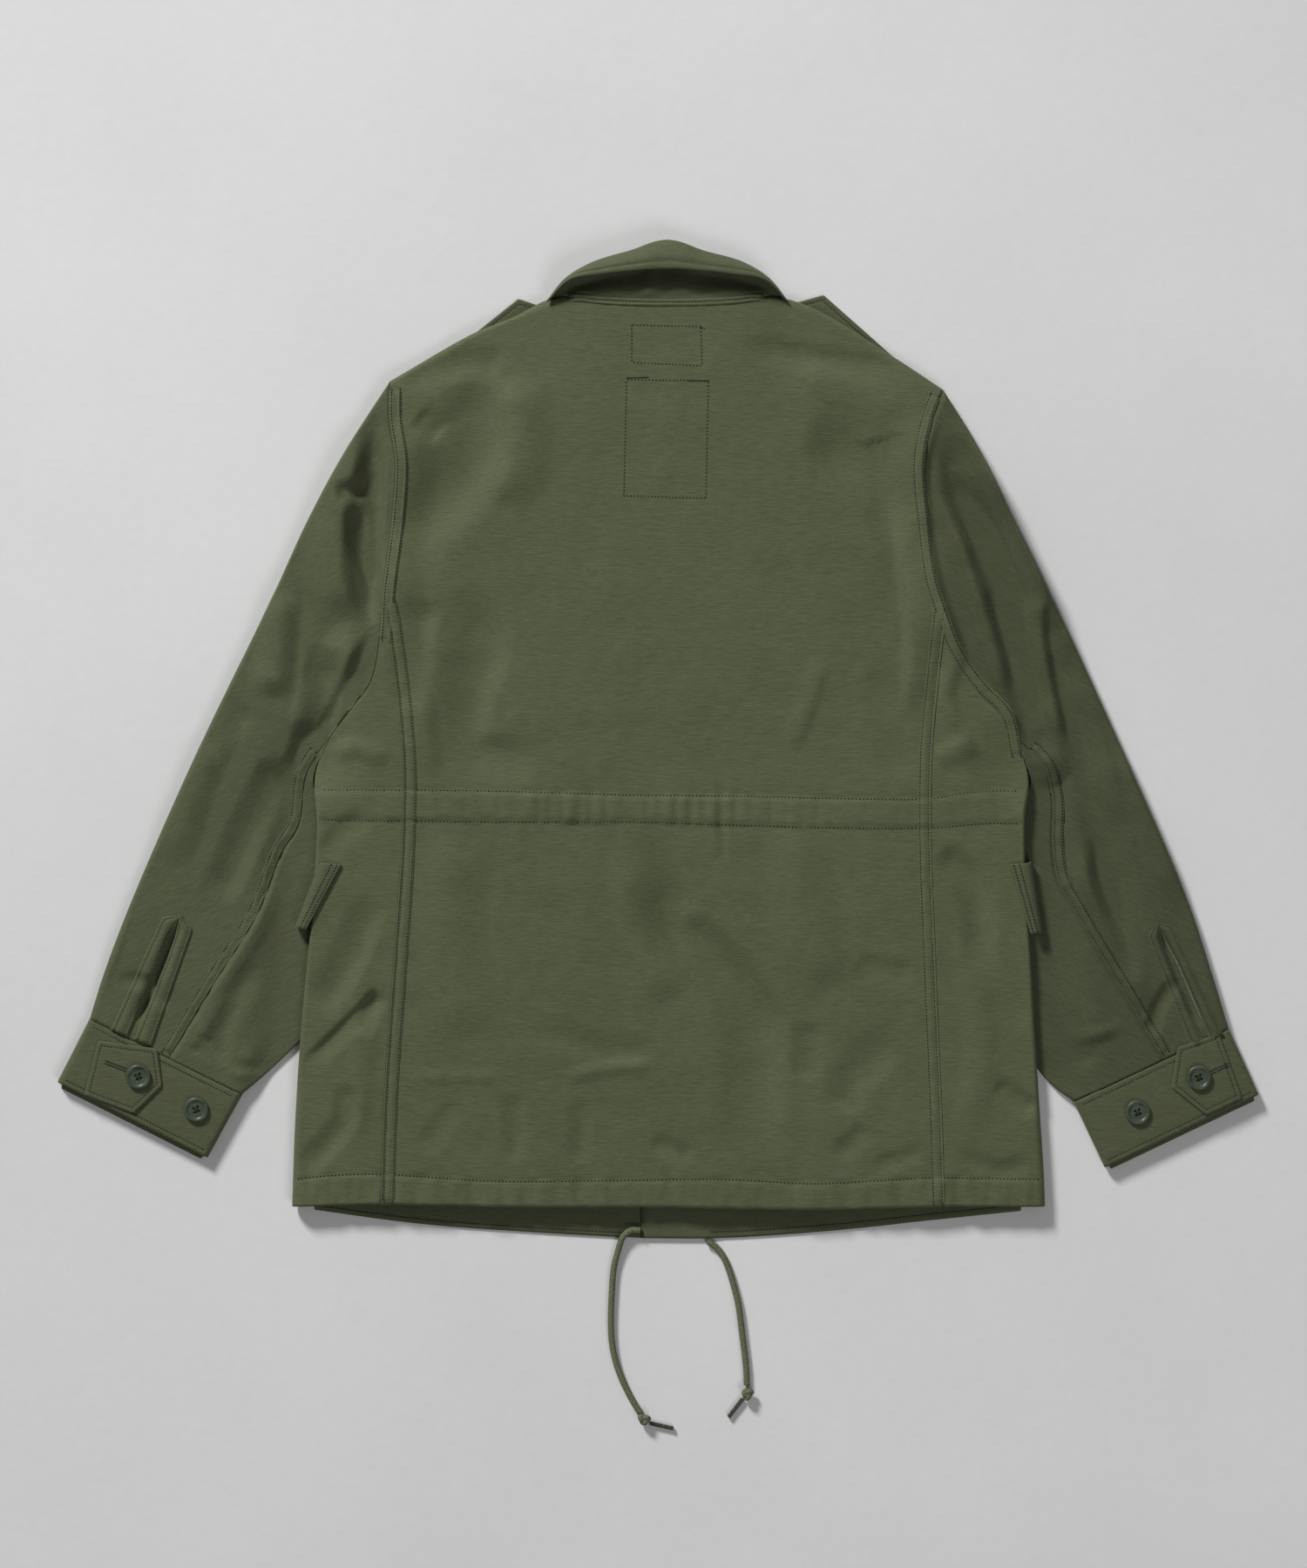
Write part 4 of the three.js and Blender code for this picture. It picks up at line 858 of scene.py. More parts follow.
def front(name, table, lines, side_seam, base):
    """Front panel, which lies on the floor below the back."""
    centre_x = CENTRE_FRONT[name]
    arm_edge = lines["arm"].at(lines["front"][::-1], lines["shift"])
    count = len(side_seam)
    picked = np.unique(np.concatenate([np.arange(0, count, 2), np.arange(count - 16, count)]))
    outer = np.vstack([side_seam[picked][::-1], arm_edge[1:]])
    n = 26
    shoulder = Line(SHOULDER[name]).part(np.linspace(0, 1, n + 1))
    nx, ny = shoulder[-1]
    sign = table["sign"]
    neck = Line([(nx, ny), (nx - sign * 6, 325), (nx - sign * 40, 283), (centre_x, CENTRE_FRONT["neck_y"])])
    tips = np.vstack([shoulder, neck.part(np.linspace(0, 1, n + 1))[1:]])
    tips[0] = lines["arm"].at(0, lines["shift"])[0]
    curls = np.arange(len(tips)) <= n * 0.9
    start = inset_line(tips, (middle(tips) - base(tips[:, 0], tips[:, 1])) * -sign)
    start[0] = lines["arm"].at(lines["shoulder"], lines["shift"])[0]
    y0, y1 = FRONT_HEM[name][-1][1], start[-1][1]
    y = y0 + (y1 - y0) * (outer[:, 1] - outer[0, 1]) / (outer[-1, 1] - outer[0, 1])
    inner = np.stack([np.full(len(outer), centre_x), y], -1)
    start[-1] = inner[-1]
    hem = Line(FRONT_HEM[name]).part(np.linspace(0, 1, len(tips)))
    hem[0] = outer[0]
    flat = patch(hem, start, outer, inner)
    at, inward = lower(flat, base(flat[..., 0], flat[..., 1]))
    curl_at, curl_in = curl_rows(start, tips, curls, base, 1.0)
    return np.concatenate([at, curl_at]), np.concatenate([inward, curl_in])


def right_front_base(x, y):
    return body_base(x, y) + (CLOTH + GAP) * smooth((LAP[0] - x) / (LAP[0] - LAP[1]))


# ---------- sleeves ----------
def sleeve_height(name, x, y, v):
    table, lines = SIDES[name], LINES[name]
    small = SLEEVE_RELIEF * folds(SLEEVE_FOLDS[name], x, y)
    small += 0.8 * waves(x, y, 70, 21) + 0.4 * waves(x, y, 26, 22)
    arm = 1 - smooth(v / 0.05)
    body = plain_top(x, y) + mix(small * 0.5, detail(x, y), arm)
    full = mix(body, CUFF_HEIGHT, smooth(v / 0.9)) + small * smooth(v / 0.05) * 0.8 * smooth((1.0 - v) / 0.03)
    t = np.clip((-12 - y) / 362, 0, 1)
    edge_x = lines["side"].part(t.ravel())[:, 0].reshape(t.shape)
    outside = (x - edge_x) * table["sign"]
    clear = np.maximum(np.maximum(smooth((outside - 19) / 33), smooth((y + 40) / 28)), smooth((-262 - y) / 40))
    return mix(TUCKED, kept_up(full), clear)


def quilt(row0, left, right):
    """Rows from left to right; the bow of the first row fades out over the rows after it."""
    u = np.linspace(0, 1, len(row0))[None, :, None]
    bow = row0[None] - mix(row0[0], row0[-1], u)
    fade = (1 - smooth(np.linspace(0, 1, len(left)) / 0.22))[:, None, None]
    return mix(left[:, None], right[:, None], u) + bow * fade


def sleeve(name):
    """Upper and under sleeve, each folded round its edge from the upper face to the lower."""
    table, lines = SIDES[name], LINES[name]
    sign, shift, arm = table["sign"], -lines["shift"], lines["arm"]
    v = np.linspace(0, 1, 176)
    outer, inner = Line(table["outer"]).part(v), Line(table["inner"]).part(v)
    outer[0], inner[0] = arm.at(0, shift)[0], arm.at(arm.length, shift)[0]
    top_edge = arm.at(spread(lines["shoulder"], lines["seam_end"], 3.4), shift)
    under_edge = arm.at(np.linspace(lines["seam_end"], arm.length - lines["under"], 16), shift)
    seam, front_seam = Line(table["seam"]), Line(table["front_seam"])
    seam_top, seam_under = seam.part(v, sign * GAP / 2), seam.part(v, -sign * GAP / 2)
    front_top, front_under = front_seam.part(v, sign * GAP / 2), front_seam.part(v, -sign * GAP / 2)
    seam_top[0], seam_under[0] = top_edge[-1], under_edge[0]
    front_d = lines["front"]
    joint = int(np.argmin(np.abs(front_d - mix(front_d[0], front_d[-1], 4 / 6))))
    front_edge = arm.at(np.concatenate([front_d, [arm.length - lines["under"]]]), shift)
    front_top[0] = front_under[0] = front_edge[joint]
    cuff_line = Line([table["cuff"]["outer_top"], table["cuff"]["inner_top"]])
    for a, b, t in zip((seam_top, front_top), (seam_under, front_under), table["seam_ends"]):
        a[-1] = cuff_line.at(t * cuff_line.length - GAP / 2)[0]
        b[-1] = cuff_line.at(t * cuff_line.length + GAP / 2)[0]
    outer_in = unit(np.vstack([top_edge[:1], seam_top[1:]]) - outer)
    inner_in = unit(np.vstack([under_edge[-1:], seam_under[1:]]) - inner)

    def height(p):
        rows = v[:, None] if p.ndim == 3 else v
        return sleeve_height(name, p[..., 0], p[..., 1], np.broadcast_to(rows, p.shape[:-1]))

    def radius(tips):
        return (height(tips) - sleeve_base(tips[:, 0], tips[:, 1])) / 2
    outer_start = outer + outer_in * radius(outer)[:, None]
    inner_start = inner + inner_in * radius(inner)[:, None]
    outer_start[0], inner_start[0] = top_edge[0], under_edge[-1]
    top_up = quilt(top_edge, outer_start, seam_top)
    under_up = quilt(under_edge, seam_under, inner_start)
    top_low = quilt(front_edge[:joint + 1], outer_start, front_top)
    under_low = quilt(front_edge[joint:], front_under, inner_start)

    def base(p):
        return lower(p, sleeve_base(p[..., 0], p[..., 1]))

    def fold(tips, inside, start):
        return nose(tips, inside, sleeve_base(tips[:, 0], tips[:, 1]), height(start))
    top = join_columns(upper(top_up[:, ::-1], height(top_up)[:, ::-1]), fold(outer, outer_in, outer_start),
                       base(top_low[:, 1:]))
    under = join_columns(upper(under_up, height(under_up)), fold(inner, inner_in, inner_start),
                         base(under_low[:, ::-1][:, 1:]))
    return top, under


SEAMS = {}
for side_name, side_table in SIDES.items():
    rows, seam = back_side(side_table, LINES[side_name])
    SEAMS[side_name] = seam
    piece = shell(f"side_panel_{side_name}", *rows, CLOTH)
    finish_piece(piece, body_cloth, [f"back_side_{side_name}"])
    base = right_front_base if side_name == "right" else body_base
    piece = shell(f"front_panel_{side_name}", *front(side_name, side_table, LINES[side_name], seam, base), CLOTH)
    finish_piece(piece, inner_cloth, [f"front_{side_name}"])
    top, under = sleeve(side_name)
    piece = shell(f"upper_sleeve_{side_name}", *top, CLOTH)
    finish_piece(piece, sleeve_cloth[side_name], [f"sleeve_top_{side_name}"])
    piece = shell(f"under_sleeve_{side_name}", *under, CLOTH)
    finish_piece(piece, sleeve_cloth[side_name], [f"sleeve_under_{side_name}"])
piece = shell("back_panel", *back_centre(), CLOTH)
finish_piece(piece, body_cloth, ["back_centre"])


# ---------- collar ----------
LEAF_ROW = 0.925                 # share of the collar's width where its leaf is topstitched


def collar():
    """Collar from its neck seam over the roll to the leaf's edge; gives its points and normals."""
    half = [list(q) for q in zip(COLLAR["seam"], COLLAR["roll"], COLLAR["edge"])]
    mirrored = [[(-x, y, z) for x, y, z in row] for row in half[1:]]
    stations = half[::-1] + mirrored
    tracks = [Line([row[k] for row in stations]) for k in range(3)]
    n_rows, n_cols = 150, 56
    t = np.linspace(0, 1, n_rows)
    seam, roll, edge = (track.part(t) for track in tracks)
    lip = edge + (roll - edge) * 0.55
    lip[:, 2] = edge[:, 2] * 0.75 + roll[:, 2] * 0.25 + 1
    foot = seam + (roll - seam) * 0.6
    foot[:, 2] = np.minimum(seam[:, 2], roll[:, 2]) - 5.5 * smooth((80 - np.abs(seam[:, 0])) / 25)
    near = seam + (roll - seam) * 0.2
    near[:, 2] = seam[:, 2] + 0.4
    share = np.linspace(0, 1, n_cols)
    grid = np.array([Line(section).part(share) for section in zip(seam, near, foot, roll, lip, edge)])
    c = share[None]
    x = grid[..., 0]
    fade = smooth(c / 0.1) * smooth((1 - c) / 0.06)
    sag = 0.9 * waves(x, grid[..., 1] * 0.4, 34, 31)
    sag += 1.3 * np.exp(-((x + 14) / 7) ** 2) - 1.2 * np.exp(-((x - 30) / 11) ** 2)
    stand = smooth((0.45 - c) / 0.15)
    grid[..., 2] += fade * sag * (0.35 + 0.9 * stand)
    leaf = 1 - stand
    grid[..., 1] += fade * leaf * 0.5 * waves(x, grid[..., 1] * 0, 48, 33)
    # the topstitching presses into the leaf, whose edge stands up beyond it
    grid[..., 2] -= 0.7 * np.exp(-((c - LEAF_ROW) / 0.016) ** 2)
    grid[..., 2] += 0.5 * np.exp(-((c - 0.965) / 0.02) ** 2)
    across = np.gradient(grid, axis=1)
    down = np.gradient(grid, axis=0)
    normal = unit(np.cross(across, down))
    normal[:, 0] = np.array([0, 0, np.sign(normal[n_rows // 2, 0, 2])])
    outer = grid - normal * DOUBLED / 2
    shift = np.array([COLLAR_CENTRE, 0, 0])
    piece = shell("collar_cloth", outer + shift, normal, DOUBLED)
    finish_piece(piece, trim_cloth, ["collar"])
    return grid + shift, normal


# ---------- felled bands and stitches ----------
STITCHES = []      # middles, directions and lengths of every stitch, gathered into one mesh


def stitch_row(points, pitch=2.5, length=1.65):
    """Stitches along a line of points [x, y, z]."""
    d = run(points)
    s = np.arange(pitch / 2, d[-1], pitch)
    ahead = along(s + 0.6, d, points) - along(s - 0.6, d, points)
    STITCHES.append((along(s, d, points), unit(ahead), np.full(len(s), length)))


def sew(p, lift=0.0, **how):
    """Stitches along flat points on the back."""
    stitch_row(raised(p, top_height(p[:, 0], p[:, 1]) + lift), **how)


def stitch_mesh(name):
    """All stitches as one mesh of small tapered grains."""
    mid, along, length = (np.concatenate(q) for q in zip(*STITCHES))
    length = length[:, None]
    side = unit(np.cross(along, np.array([0, 0, 1.0])))
    up = np.cross(side, along)
    up *= np.sign(up[:, 2:3])
    w, h = 0.6, 0.3
    rings = []
    for share, size in ((-0.5, 0.35), (-0.28, 1.0), (0.28, 1.0), (0.5, 0.35)):
        for a, b in ((-1, 0), (0, 1), (1, 0), (0, -1)):
            lift = -0.22 if abs(share) == 0.5 else 0.0
            rings.append(mid + along * length * share + side * (a * w * size) + up * (b * h * size + lift))
    verts = np.stack(rings, 1)
    n = len(mid)
    quads = np.concatenate([grid_faces(4, 4, ring=True), [(3, 2, 1, 0), (12, 13, 14, 15)]])
    faces = (quads[None] + (np.arange(n) * 16)[:, None, None]).reshape(-1, 4)
    return new_object(name, verts.reshape(-1, 3), faces)


def band(name, line, d, offsets, lifts, height, mat, wobble=0.25, seed=5, thickness=0.5, rows=()):
    """Felled strip along a line: a low ridge pressed down along its rows of stitches."""
    offsets, lifts = np.array(offsets, float), np.array(lifts, float)
    flat = np.stack([line.at(d, o) for o in offsets], 1)[..., :2]
    z = height(flat[..., 0], flat[..., 1], d)
    ripple = 1 + 2 * wobble * waves(*np.meshgrid(d, offsets * 2.0, indexing="ij"), 15, seed)
    ends = (smooth((d - d[0]) / 5) * smooth((d[-1] - d) / 5))[:, None]
    at = raised(flat, z + lifts[None] * ripple * ends - 0.6 * (1 - ends))
    inward = np.broadcast_to(np.array([0, 0, -1.0]), at.shape)
    piece = shell(name, at, inward, thickness)
    finish_piece(piece, mat)
    for offset in rows:
        p = line.at(d, offset)[..., :2]
        lift = np.interp(offset, offsets, lifts)
        stitch_row(raised(p, height(p[:, 0], p[:, 1], d) + lift + 0.12))


def on_back(x, y, s):
    return top_height(x, y)


def felled(outer, first, second, last, sign):
    """Offsets and lifts across a felled seam: outer edge, two rows of stitches, last edge."""
    points = [(outer, -0.3), (outer + 0.5, 0.55), (outer + 1.4, 0.85), (first - 1.3, 0.8), (first, 0.3),
              (first + 1.4, 0.85), ((first + second) / 2, 1.05), (second - 1.4, 0.85), (second, 0.3),
              (second + 1.2, 0.6), (last, -0.3)]
    return zip(*sorted((sign * a, b) for a, b in points))


for side_name, side_table in SIDES.items():
    sign, lines = side_table["sign"], LINES[side_name]
    d = np.arange(0, lines["princess"].length, 1.8)
    # offsets are to the left of a line that runs down, which is towards the wearer's right
    offsets, lifts = felled(-0.5, 2.2, 9.2, 10.6, -sign)
    band(f"princess_band_{side_name}", lines["princess"], d, offsets, lifts,
         on_back, body_cloth, seed=41, rows=(-sign * 2.2, -sign * 9.2))
    arm_d = np.arange(lines["shoulder"] + 1, side_table["band_end"], 1.8)
    offsets, lifts = felled(-0.6, 5.6, 8.4, 9.6, -sign)
    band(f"armhole_band_{side_name}", lines["arm"], arm_d, offsets, lifts,
         on_back, body_cloth, seed=42, rows=(-sign * 1.6, -sign * 8.4))
    seam = Line(side_table["seam"])
    seam_d = np.arange(14, seam.length - 1, 1.8)
    offsets, lifts = felled(-0.5, 1.8, 7.4, 8.6, sign)
    band(f"sleeve_band_{side_name}", seam, seam_d, offsets, lifts,
         lambda x, y, s, name=side_name, length=seam.length: sleeve_height(
             name, x, y, np.broadcast_to((s / length)[:, None] if x.ndim == 2 else s / length, x.shape)),
         sleeve_cloth[side_name], seed=43, wobble=0.5, rows=(sign * 1.8, sign * 7.4))

collar_grid, collar_normal = collar()
neck = Line([(x + COLLAR_CENTRE, y - 0.6) for x, y, _ in COLLAR["seam"]][::-1]
            + [(COLLAR_CENTRE - x, y - 0.6) for x, y, _ in COLLAR["seam"][1:]])
neck_d = np.arange(1, neck.length - 1, 1.6)
band("neck_band", neck, neck_d, [-4.8, -4.2, -3.4, -2.6, -1.8, -1.2, -0.6, 0.6, 1.6],
     [-0.3, 0.6, 0.95, 1.0, 0.5, 0.3, 0.9, 1.1, 0.2], lambda x, y, s: top_height(x, np.minimum(y, 354)),
     body_cloth, seed=44, rows=(-1.4,))

# rows of stitches on the back
for row, start, end in ((CHANNEL["upper"], -268, 291), (CHANNEL["lower"], -268, 291), (HEM_ROW, -289, 309)):
    line = Line(row)
    p = line.at(np.arange(0, line.length, 1.2))
    sew(p[(p[:, 0] > start) & (p[:, 0] < end)], 0.3, pitch=3.0)
BOXES = [[(-19.6, 334.6), (35.7, 333.2), (37.1, 301.7), (-19.6, 304.5)],
         [(-23.8, 290.5), (42, 289.8), (39.9, 195.3), (-25.9, 197.4)]]
for corners in BOXES:
    for a, b in zip(corners, corners[1:] + corners[:1]):
        sew(steps(a, b, int(math.dist(a, b) / 1.2)), 0.05, pitch=2.8, length=1.7)
for a, b in (((24.5, 290), (42, 289.6)), ((35, 333.2), (38.5, 331.5)), ((-24, 292), (-6, 292.4))):
    sew(steps(a, b, 16), 0.2, pitch=1.5, length=1.4)
# the leaf's topstitching, on its outer face
k = int(round(LEAF_ROW * (collar_grid.shape[1] - 1)))
stitch_row(collar_grid[4:-4, k] - collar_normal[4:-4, k] * (DOUBLED / 2 + 0.1))
# stitches of the front hem, seen below the back
for name, base, up, end in (("left", body_base, 3.8, -16), ("right", right_front_base, 5, 42)):
    line = Line([(x, y + up) for x, y in FRONT_HEM[name]])
    p = line.at(np.arange(0, line.length, 1.2))
    p = p[(p[:, 0] - end) * SIDES[name]["sign"] > 0]
    stitch_row(raised(p, base(p[:, 0], p[:, 1]) + CLOTH + 0.15))


# ---------- cuffs, tabs, buttons and plackets ----------
CUFF_DEPTH, CUFF_ROW = 51, 4.2      # a cuff's depth, and how far in from each edge it is stitched


def cuff(name):
    """Cuff as a flattened ring, with a row of stitches along each edge."""
    c = {k: np.array(v, float) for k, v in SIDES[name]["cuff"].items()}
    down = unit(c["outer_end"] - c["outer_top"])
    radius = CUFF_HEIGHT / 2
    ats, ins = [], []
    for t in np.linspace(0, 1, 26):
        gap = GAP * (1 - t)
        outer = mix(c["outer_top"], c["outer_end"], t) + down * gap
        inner = mix(c["inner_top"], c["inner_end"], t) + down * gap
        inside = unit(inner - outer)
        span = np.linalg.norm(inner - outer) - 2 * radius
        layer = outer + inside * (radius + np.linspace(0, 1, 44)[:, None] * span)
        longer = 4 * smooth(t)
        top_z = CUFF_HEIGHT + 0.5 * waves(*layer.T, 40, 51) * smooth(t * 6) * smooth((1.02 - t) * 8)
        edge = min(t, 1 - t) * CUFF_DEPTH
        top_z = top_z - 0.45 * math.exp(-((edge - CUFF_ROW) / 1.3) ** 2) - 0.5 * (1 - smooth(edge / 1.6))
        n_in, i_in = nose(inner[None], -inside[None], np.zeros(1), np.full(1, CUFF_HEIGHT))
        n_out, i_out = nose(outer[None], inside[None], np.zeros(1), np.full(1, CUFF_HEIGHT))
        up = raised(layer, top_z)
        low = raised(layer + down * longer, 0.0)[::-1]
        ats.append(np.vstack([up, n_in[0], low, n_out[0][::-1]]))
        ins.append(np.vstack([np.tile([0, 0, -1.0], (len(up), 1)), i_in[0], np.tile([0, 0, 1.0], (len(low), 1)),
                              i_out[0][::-1]]))
    at, inward = np.array(ats), np.array(ins)
    piece = shell(f"cuff_cloth_{name}", at, inward, CUFF_WALL, ring=True)
    finish_piece(piece, trim_cloth, [f"cuff_{name}"])
    for share in (CUFF_ROW / CUFF_DEPTH, 1 - CUFF_ROW / CUFF_DEPTH):
        a = mix(c["outer_top"], c["outer_end"], share)
        b = mix(c["inner_top"], c["inner_end"], share)
        p = a + (b - a) * np.linspace(0.04, 0.96, 90)[:, None]
        stitch_row(raised(p, CUFF_HEIGHT - 0.25 + 0.5 * waves(p[:, 0], p[:, 1], 40, 51)))


def outline(points, inset, corner, per_edge=26):
    """Convex outline moved in and with rounded corners, always with the same number of points."""
    p = np.array(points, float)
    if np.sum(p[:, 0] * np.roll(p[:, 1], -1) - np.roll(p[:, 0], -1) * p[:, 1]) < 0:
        p = p[::-1]
    edge = unit(np.roll(p, -1, axis=0) - p)
    normal = np.stack([-edge[:, 1], edge[:, 0]], -1)
    moved = [q + (a + b) / (1 + a @ b) * inset for q, a, b in zip(p, np.roll(normal, 1, axis=0), normal)]
    r = max(corner - inset * 0.5, 0.3)
    out = []
    for k, q in enumerate(moved):
        before, after = moved[k - 1], moved[(k + 1) % len(p)]
        a, b = q + unit(before - q) * r, q + unit(after - q) * r
        t = np.linspace(0, 1, 6)[:, None]
        out.append((1 - t) ** 2 * a + 2 * t * (1 - t) * q + t ** 2 * b)
        end = after + unit(q - after) * r
        out.append(b + (end - b) * np.linspace(0, 1, per_edge)[1:-1, None])
    return np.vstack(out)


def plate(name, points, z, rings, corner=2.0, wave=0.0, seed=61):
    """Closed flat piece of doubled cloth; rings are (inset, height) from its foot to its middle."""
    rows = []
    for inset, height in rings:
        ring = outline(points, inset, corner)
        ripple = wave * waves(ring[:, 0], ring[:, 1], 30, seed) * (height > 0.5)
        rows.append(raised(ring, z + height + ripple))
    at = np.array(rows)
    return capped(name, at, at[:1].mean(1), at[-1:].mean(1))


PRESSED = 3.7                    # how far in from its edge a plate is stitched


def ring_of_stitches(points, seat):
    ring = outline(points, PRESSED, 2.0)
    stitch_row(raised(np.vstack([ring, ring[:1]]), seat + 1.62))


PLATE_RINGS = [(0.35, 0.0), (0, 0.5), (0, 1.2), (0.5, 1.7), (1.6, 1.8), (2.9, 1.75), (PRESSED, 1.45), (4.5, 1.75),
               (6.0, 1.85), (9.0, 1.8)]


def circle(radius, z, count, turn=0.0):
    a = turn + np.linspace(0, 2 * math.pi, count, endpoint=False)
    return np.stack([radius * np.cos(a), radius * np.sin(a), np.full(count, float(z))], -1)


# half section of a button: radius and height, from its foot over the rim to its dished middle
BUTTON_PROFILE = [(9.0, 0), (9.7, 0.5), (10, 1.2), (10, 1.9), (9.7, 2.5), (9.1, 2.9), (8.4, 3.0), (7.7, 2.9),
                  (7.2, 2.5), (6.8, 2.0), (6.2, 1.75), (5.4, 1.7), (4.6, 1.75), (3.2, 1.85)]
BUTTON_MIDDLE, HOLE_CIRCLE, HOLE_RADIUS, THREAD_RADIUS = 1.9, 2.3, 1.15, 0.3
BUTTON_TURN = math.radians(20) + 0.785


def button(name, x, y, seat):
    """Turned button with four holes and its crossed thread."""
    disc = capped(name, np.array([circle(r, z, 56) for r, z in BUTTON_PROFILE]), np.zeros((1, 3)),
                  np.array([[0, 0, BUTTON_MIDDLE]]))
    holes = circle(HOLE_CIRCLE, 0, 4, BUTTON_TURN)[:, :2]
    cutter_parts, cutter_faces = [], []
    m = 14
    for hx, hy in holes:
        base = len(cutter_parts) * m
        cutter_parts += [circle(HOLE_RADIUS, z, m) + (hx, hy, 0) for z in (-1, 4)]
        cutter_faces += [(base + q, base + (q + 1) % m, base + m + (q + 1) % m, base + m + q) for q in range(m)]
        cutter_faces += [tuple(base + q for q in reversed(range(m))), tuple(base + m + q for q in range(m))]
    cutter = new_object("cutter", np.concatenate(cutter_parts), cutter_faces)
    cut = disc.modifiers.new("cut", "BOOLEAN")
    cut.object, cut.operation, cut.solver = cutter, "DIFFERENCE", "EXACT"
    bpy.context.view_layer.update()
    mesh = bpy.data.meshes.new_from_object(disc.evaluated_get(bpy.context.evaluated_depsgraph_get()))
    disc.modifiers.clear()
    disc.data = mesh
    bpy.data.objects.remove(cutter)
    mesh.vertices.foreach_set("co", (coordinates(mesh) + np.array([x, y, seat]) * MM).ravel())
    mesh.shade_smooth()
    for a, b in ((0, 2), (1, 3)):
        p = np.array([(*holes[a], 1.5), (*holes[a], 2.2), (0, 0, 2.55), (*holes[b], 2.2), (*holes[b], 1.5)])
        path = Line(p + np.array([x, y, seat])).part(np.linspace(0, 1, 22))
        strand = tube(f"{name}_thread_{a + 1}", path, THREAD_RADIUS, sides=10)
        finish_piece(strand, thread)
    return disc


STITCHED = (0.22, 0.78)          # shares of a placket's width where it is sewn down


def placket(name):
    """Doubled strip round the sleeve's slit, from one side of its foot over the apex to the other."""
    c = SIDES[name]["placket"]
    start, foot = np.array(c["apex"], float), np.array(c["foot"], float)
    down = unit(foot - start)
    across = np.array([-down[1], down[0]])
    length = np.linalg.norm(foot - start)
    k = np.concatenate([-np.linspace(1, 0, 60) ** 1.3, np.linspace(0, 1, 60)[1:] ** 1.3])
    t, sideways = np.abs(k), np.sign(k)
    blunt = smooth(t / 0.10)
    inner = sideways * c["slit"] * np.minimum(t * 3, 1) / 2
    outer = sideways * mix(c["half_top"], c["half_foot"], t) * (0.15 + 0.85 * blunt)
    lip, end = mix(8, length + 11, t), mix(0, length + 11, t) + 2.2 * (1 - blunt)
    shares = np.array([0, 0.06, 0.14, 0.22, 0.3, 0.5, 0.7, 0.78, 0.86, 0.94, 1.0])
    lifts = np.array([0.1, 1.5, 1.9, 1.2, 1.8, 2.0, 1.8, 1.1, 1.6, 1.3, -0.1])
    rows = []
    for share, lift in zip(shares, lifts):
        p = start + down * mix(lip, end, share)[:, None] + across * mix(inner, outer, share)[:, None]
        v = np.clip((290 - p[:, 1]) / 525, 0, 1)
        z = sleeve_height(name, p[:, 0], p[:, 1], v)
        crease = 0.25 * waves(k * length, p[:, 0] * 0, 16, 71)
        rows.append(raised(p, z + lift * 1.15 + crease * (lift > 0.5)))
        if share in STITCHED:
            stitch_row(rows[-1] + np.array([0, 0, 0.15]))
    at = np.array(rows)
    piece = shell(f"placket_cloth_{name}", at, np.broadcast_to(np.array([0, 0, -1.0]), at.shape), 0.6)
    finish_piece(piece, sleeve_cloth[name], [f"placket_{name}"])


def tab(name, table):
    """Buttoned tab with its buttonhole, and the cuff's two buttons."""
    seat = CUFF_HEIGHT + GAP
    cloth = plate(f"tab_cloth_{name}", table["tab"], seat, PLATE_RINGS, wave=0.15)
    finish_piece(cloth, trim_cloth, [f"cuff_tab_{name}"])
    ring_of_stitches(table["tab"], seat)
    start, end = (np.array(q) for q in table["hole"])
    d = unit(end - start)
    for off in (-HOLE_EDGE, HOLE_EDGE):
        aside = np.array([-d[1], d[0]]) * off
        stitch_row(raised(steps(start + aside, end + aside, 24), seat + 1.95), pitch=1.15, length=1.35)
    for k, ((x, y), on) in enumerate(table["buttons"]):
        disc = button(f"button_{name}_{k + 1}", x, y, seat + (DOUBLED + GAP if on == "tab" else 0))
        disc.data.materials.clear()
        finish_piece(disc, button_plastic, [f"cuff_button_{name}_{k + 1}"])


def shoulder_loop(name, table):
    (cx, cy), (ax, ay), length = (table["loop"][key] for key in ("corner", "along", "length"))
    px, py = ay * table["sign"], -ax * table["sign"]
    corners = [(0, 0), (length, 0), (length, LOOP_WIDTH), (0, LOOP_WIDTH), (-LOOP_POINT, LOOP_WIDTH / 2)]
    points = [(cx + ax * u + px * w, cy + ay * u + py * w) for u, w in corners]
    piece = plate(f"loop_cloth_{name}", points, 0.0, PLATE_RINGS, corner=1.5)
    finish_piece(piece, trim_cloth, [f"shoulder_loop_{name}"])
    ring_of_stitches(points, 0.0)


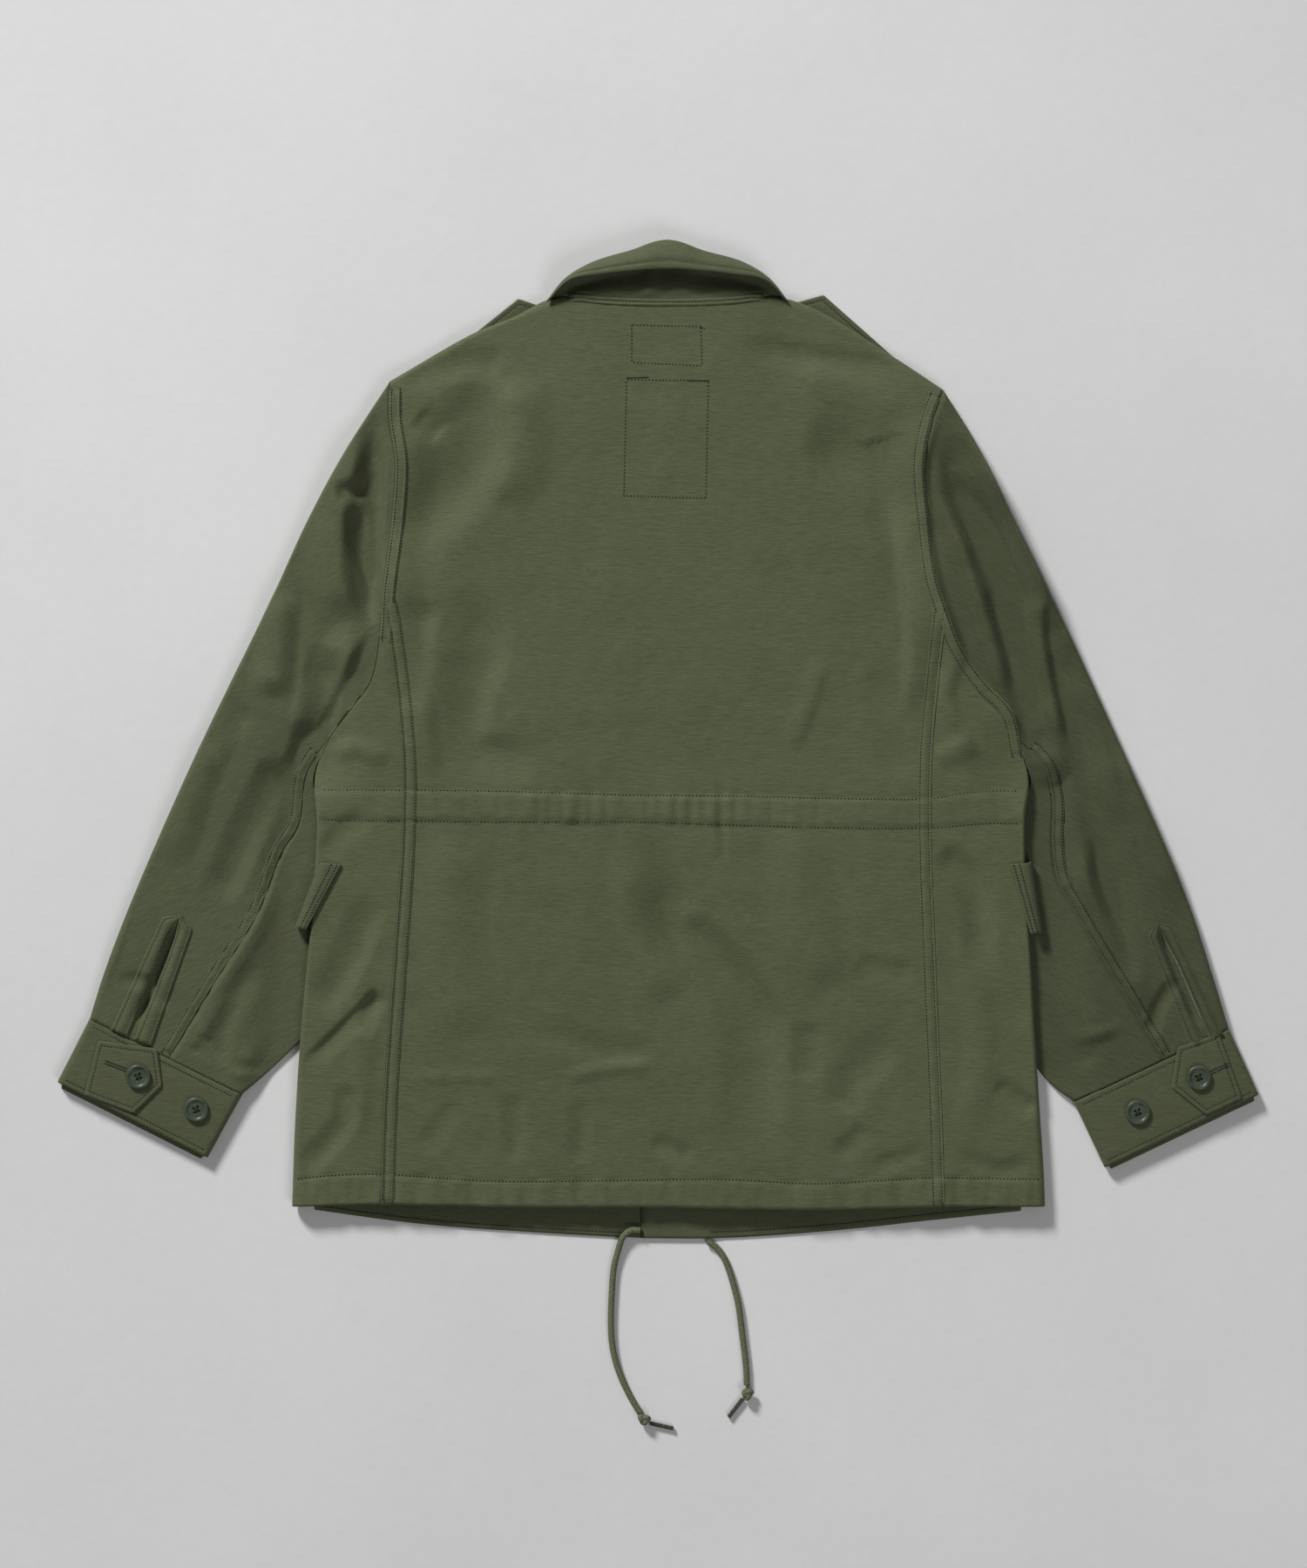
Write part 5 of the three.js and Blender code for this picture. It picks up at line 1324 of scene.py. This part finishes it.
def flap(name, table):
    """Pocket flap under the front; its end comes round the side and lies on the back's edge."""
    sign = table["sign"]
    s, t = np.linspace(0, 1, FLAP_ROWS)[:, None, None], np.linspace(0, 1, 60)[None, :, None]
    top, bottom = (np.array(table["flap"][key], float) for key in ("top", "bottom"))
    p = mix(mix(top[0], top[1], t), mix(bottom[0], bottom[1], t), s)
    at, inward = upper(p, np.maximum(body_base(p[..., 0], p[..., 1]) - 0.8, DOUBLED))
    around = np.linspace(0, 1, 34)
    wrap = []
    for (ex, ey, ez), share in zip(at[:, 0], np.linspace(0, 1, FLAP_ROWS)):
        over = mix(*FLAP_OVER, share)
        rest = float(top_height(np.array([ex - sign * over]), np.array([ey]))[0])
        route = [(1, ez), (4, 3.4), (6.4, 7.5), (5.6, rest - 0.5), (2, rest + 2.0), (-over, rest + 2.4)]
        q = Line([(ex + sign * out, 0, z) for out, z in route]).part(around)
        wrap.append(np.stack([q[:, 0], ey - 3.0 * around, q[:, 2]], -1)[::-1])
    wrap = np.array(wrap)
    turned = unit(np.cross(np.gradient(wrap, axis=1), np.gradient(wrap, axis=0)))
    turned *= np.sign(-turned[FLAP_ROWS // 2, 0, 2])
    at, inward = np.concatenate([wrap, at], 1), np.concatenate([turned, inward], 1)
    for column in (3, 8):
        stitch_row(at[:, column] - inward[:, column] * 0.15)
    piece = shell(f"flap_cloth_{name}", at, inward, DOUBLED - 0.2)
    finish_piece(piece, trim_cloth, [f"pocket_flap_{name}"])


HOLE_EDGE = 1.1                  # from a buttonhole's middle to its row of stitches
LOOP_WIDTH, LOOP_POINT = 46, 15
FLAP_ROWS, FLAP_OVER = 30, (11, 3)       # a flap lies this far onto the back, at its top and at its foot
for side_name, side_table in SIDES.items():
    cuff(side_name)
    placket(side_name)
    tab(side_name, side_table)
    shoulder_loop(side_name, side_table)
    flap(side_name, side_table)

finish_piece(stitch_mesh("stitches"), thread)


# ---------- floor and light ----------
def floor_build(node, link, shader):
    place = node("ShaderNodeTexCoord")
    big = node("ShaderNodeTexNoise", Scale=2.2, Detail=6, Roughness=0.6)
    fine = node("ShaderNodeTexNoise", Scale=90, Detail=5, Roughness=0.65)
    link(place, "Object", big, "Vector")
    link(place, "Object", fine, "Vector")
    total = weighted(node, link, ((big, 1.0), (fine, 0.3)))
    ramp = colour_ramp(node, 0.4, (0.585, 0.59, 0.585), 0.9, (0.645, 0.65, 0.645))
    link(total, "Value", ramp, "Fac")
    link(ramp, "Color", shader, "Base Color")
    bump = node("ShaderNodeBump", Strength=0.15, Distance=0.001)
    link(fine, "Fac", bump, "Height")
    link(bump, "Normal", shader, "Normal")
    shader.inputs["Roughness"].default_value = 0.85
    shader.inputs["Specular IOR Level"].default_value = 0.2


bpy.ops.mesh.primitive_plane_add(size=12, location=(0, 0, -0.0003))
floor = bpy.context.object
floor.name = "floor"
floor.data.materials.append(material("pale floor", floor_build))

world = bpy.data.worlds.new("studio")
bpy.context.scene.world = world
world.use_nodes = True
world.node_tree.nodes["Background"].inputs["Color"].default_value = (1.0, 1.0, 0.99, 1)
world.node_tree.nodes["Background"].inputs["Strength"].default_value = 0.17


def area_light(name, place, size, power):
    data = bpy.data.lights.new(name, "AREA")
    data.shape, data.size, data.energy = "DISK", size, power
    lamp = add(name, data)
    lamp.location = place
    lamp.rotation_euler = mathutils.Vector(place).to_track_quat("Z", "Y").to_euler()


area_light("key", (-3.1, 4.9, 3.3), 1.4, 570)
area_light("fill", (1.8, -3.2, 3.6), 2.4, 66)
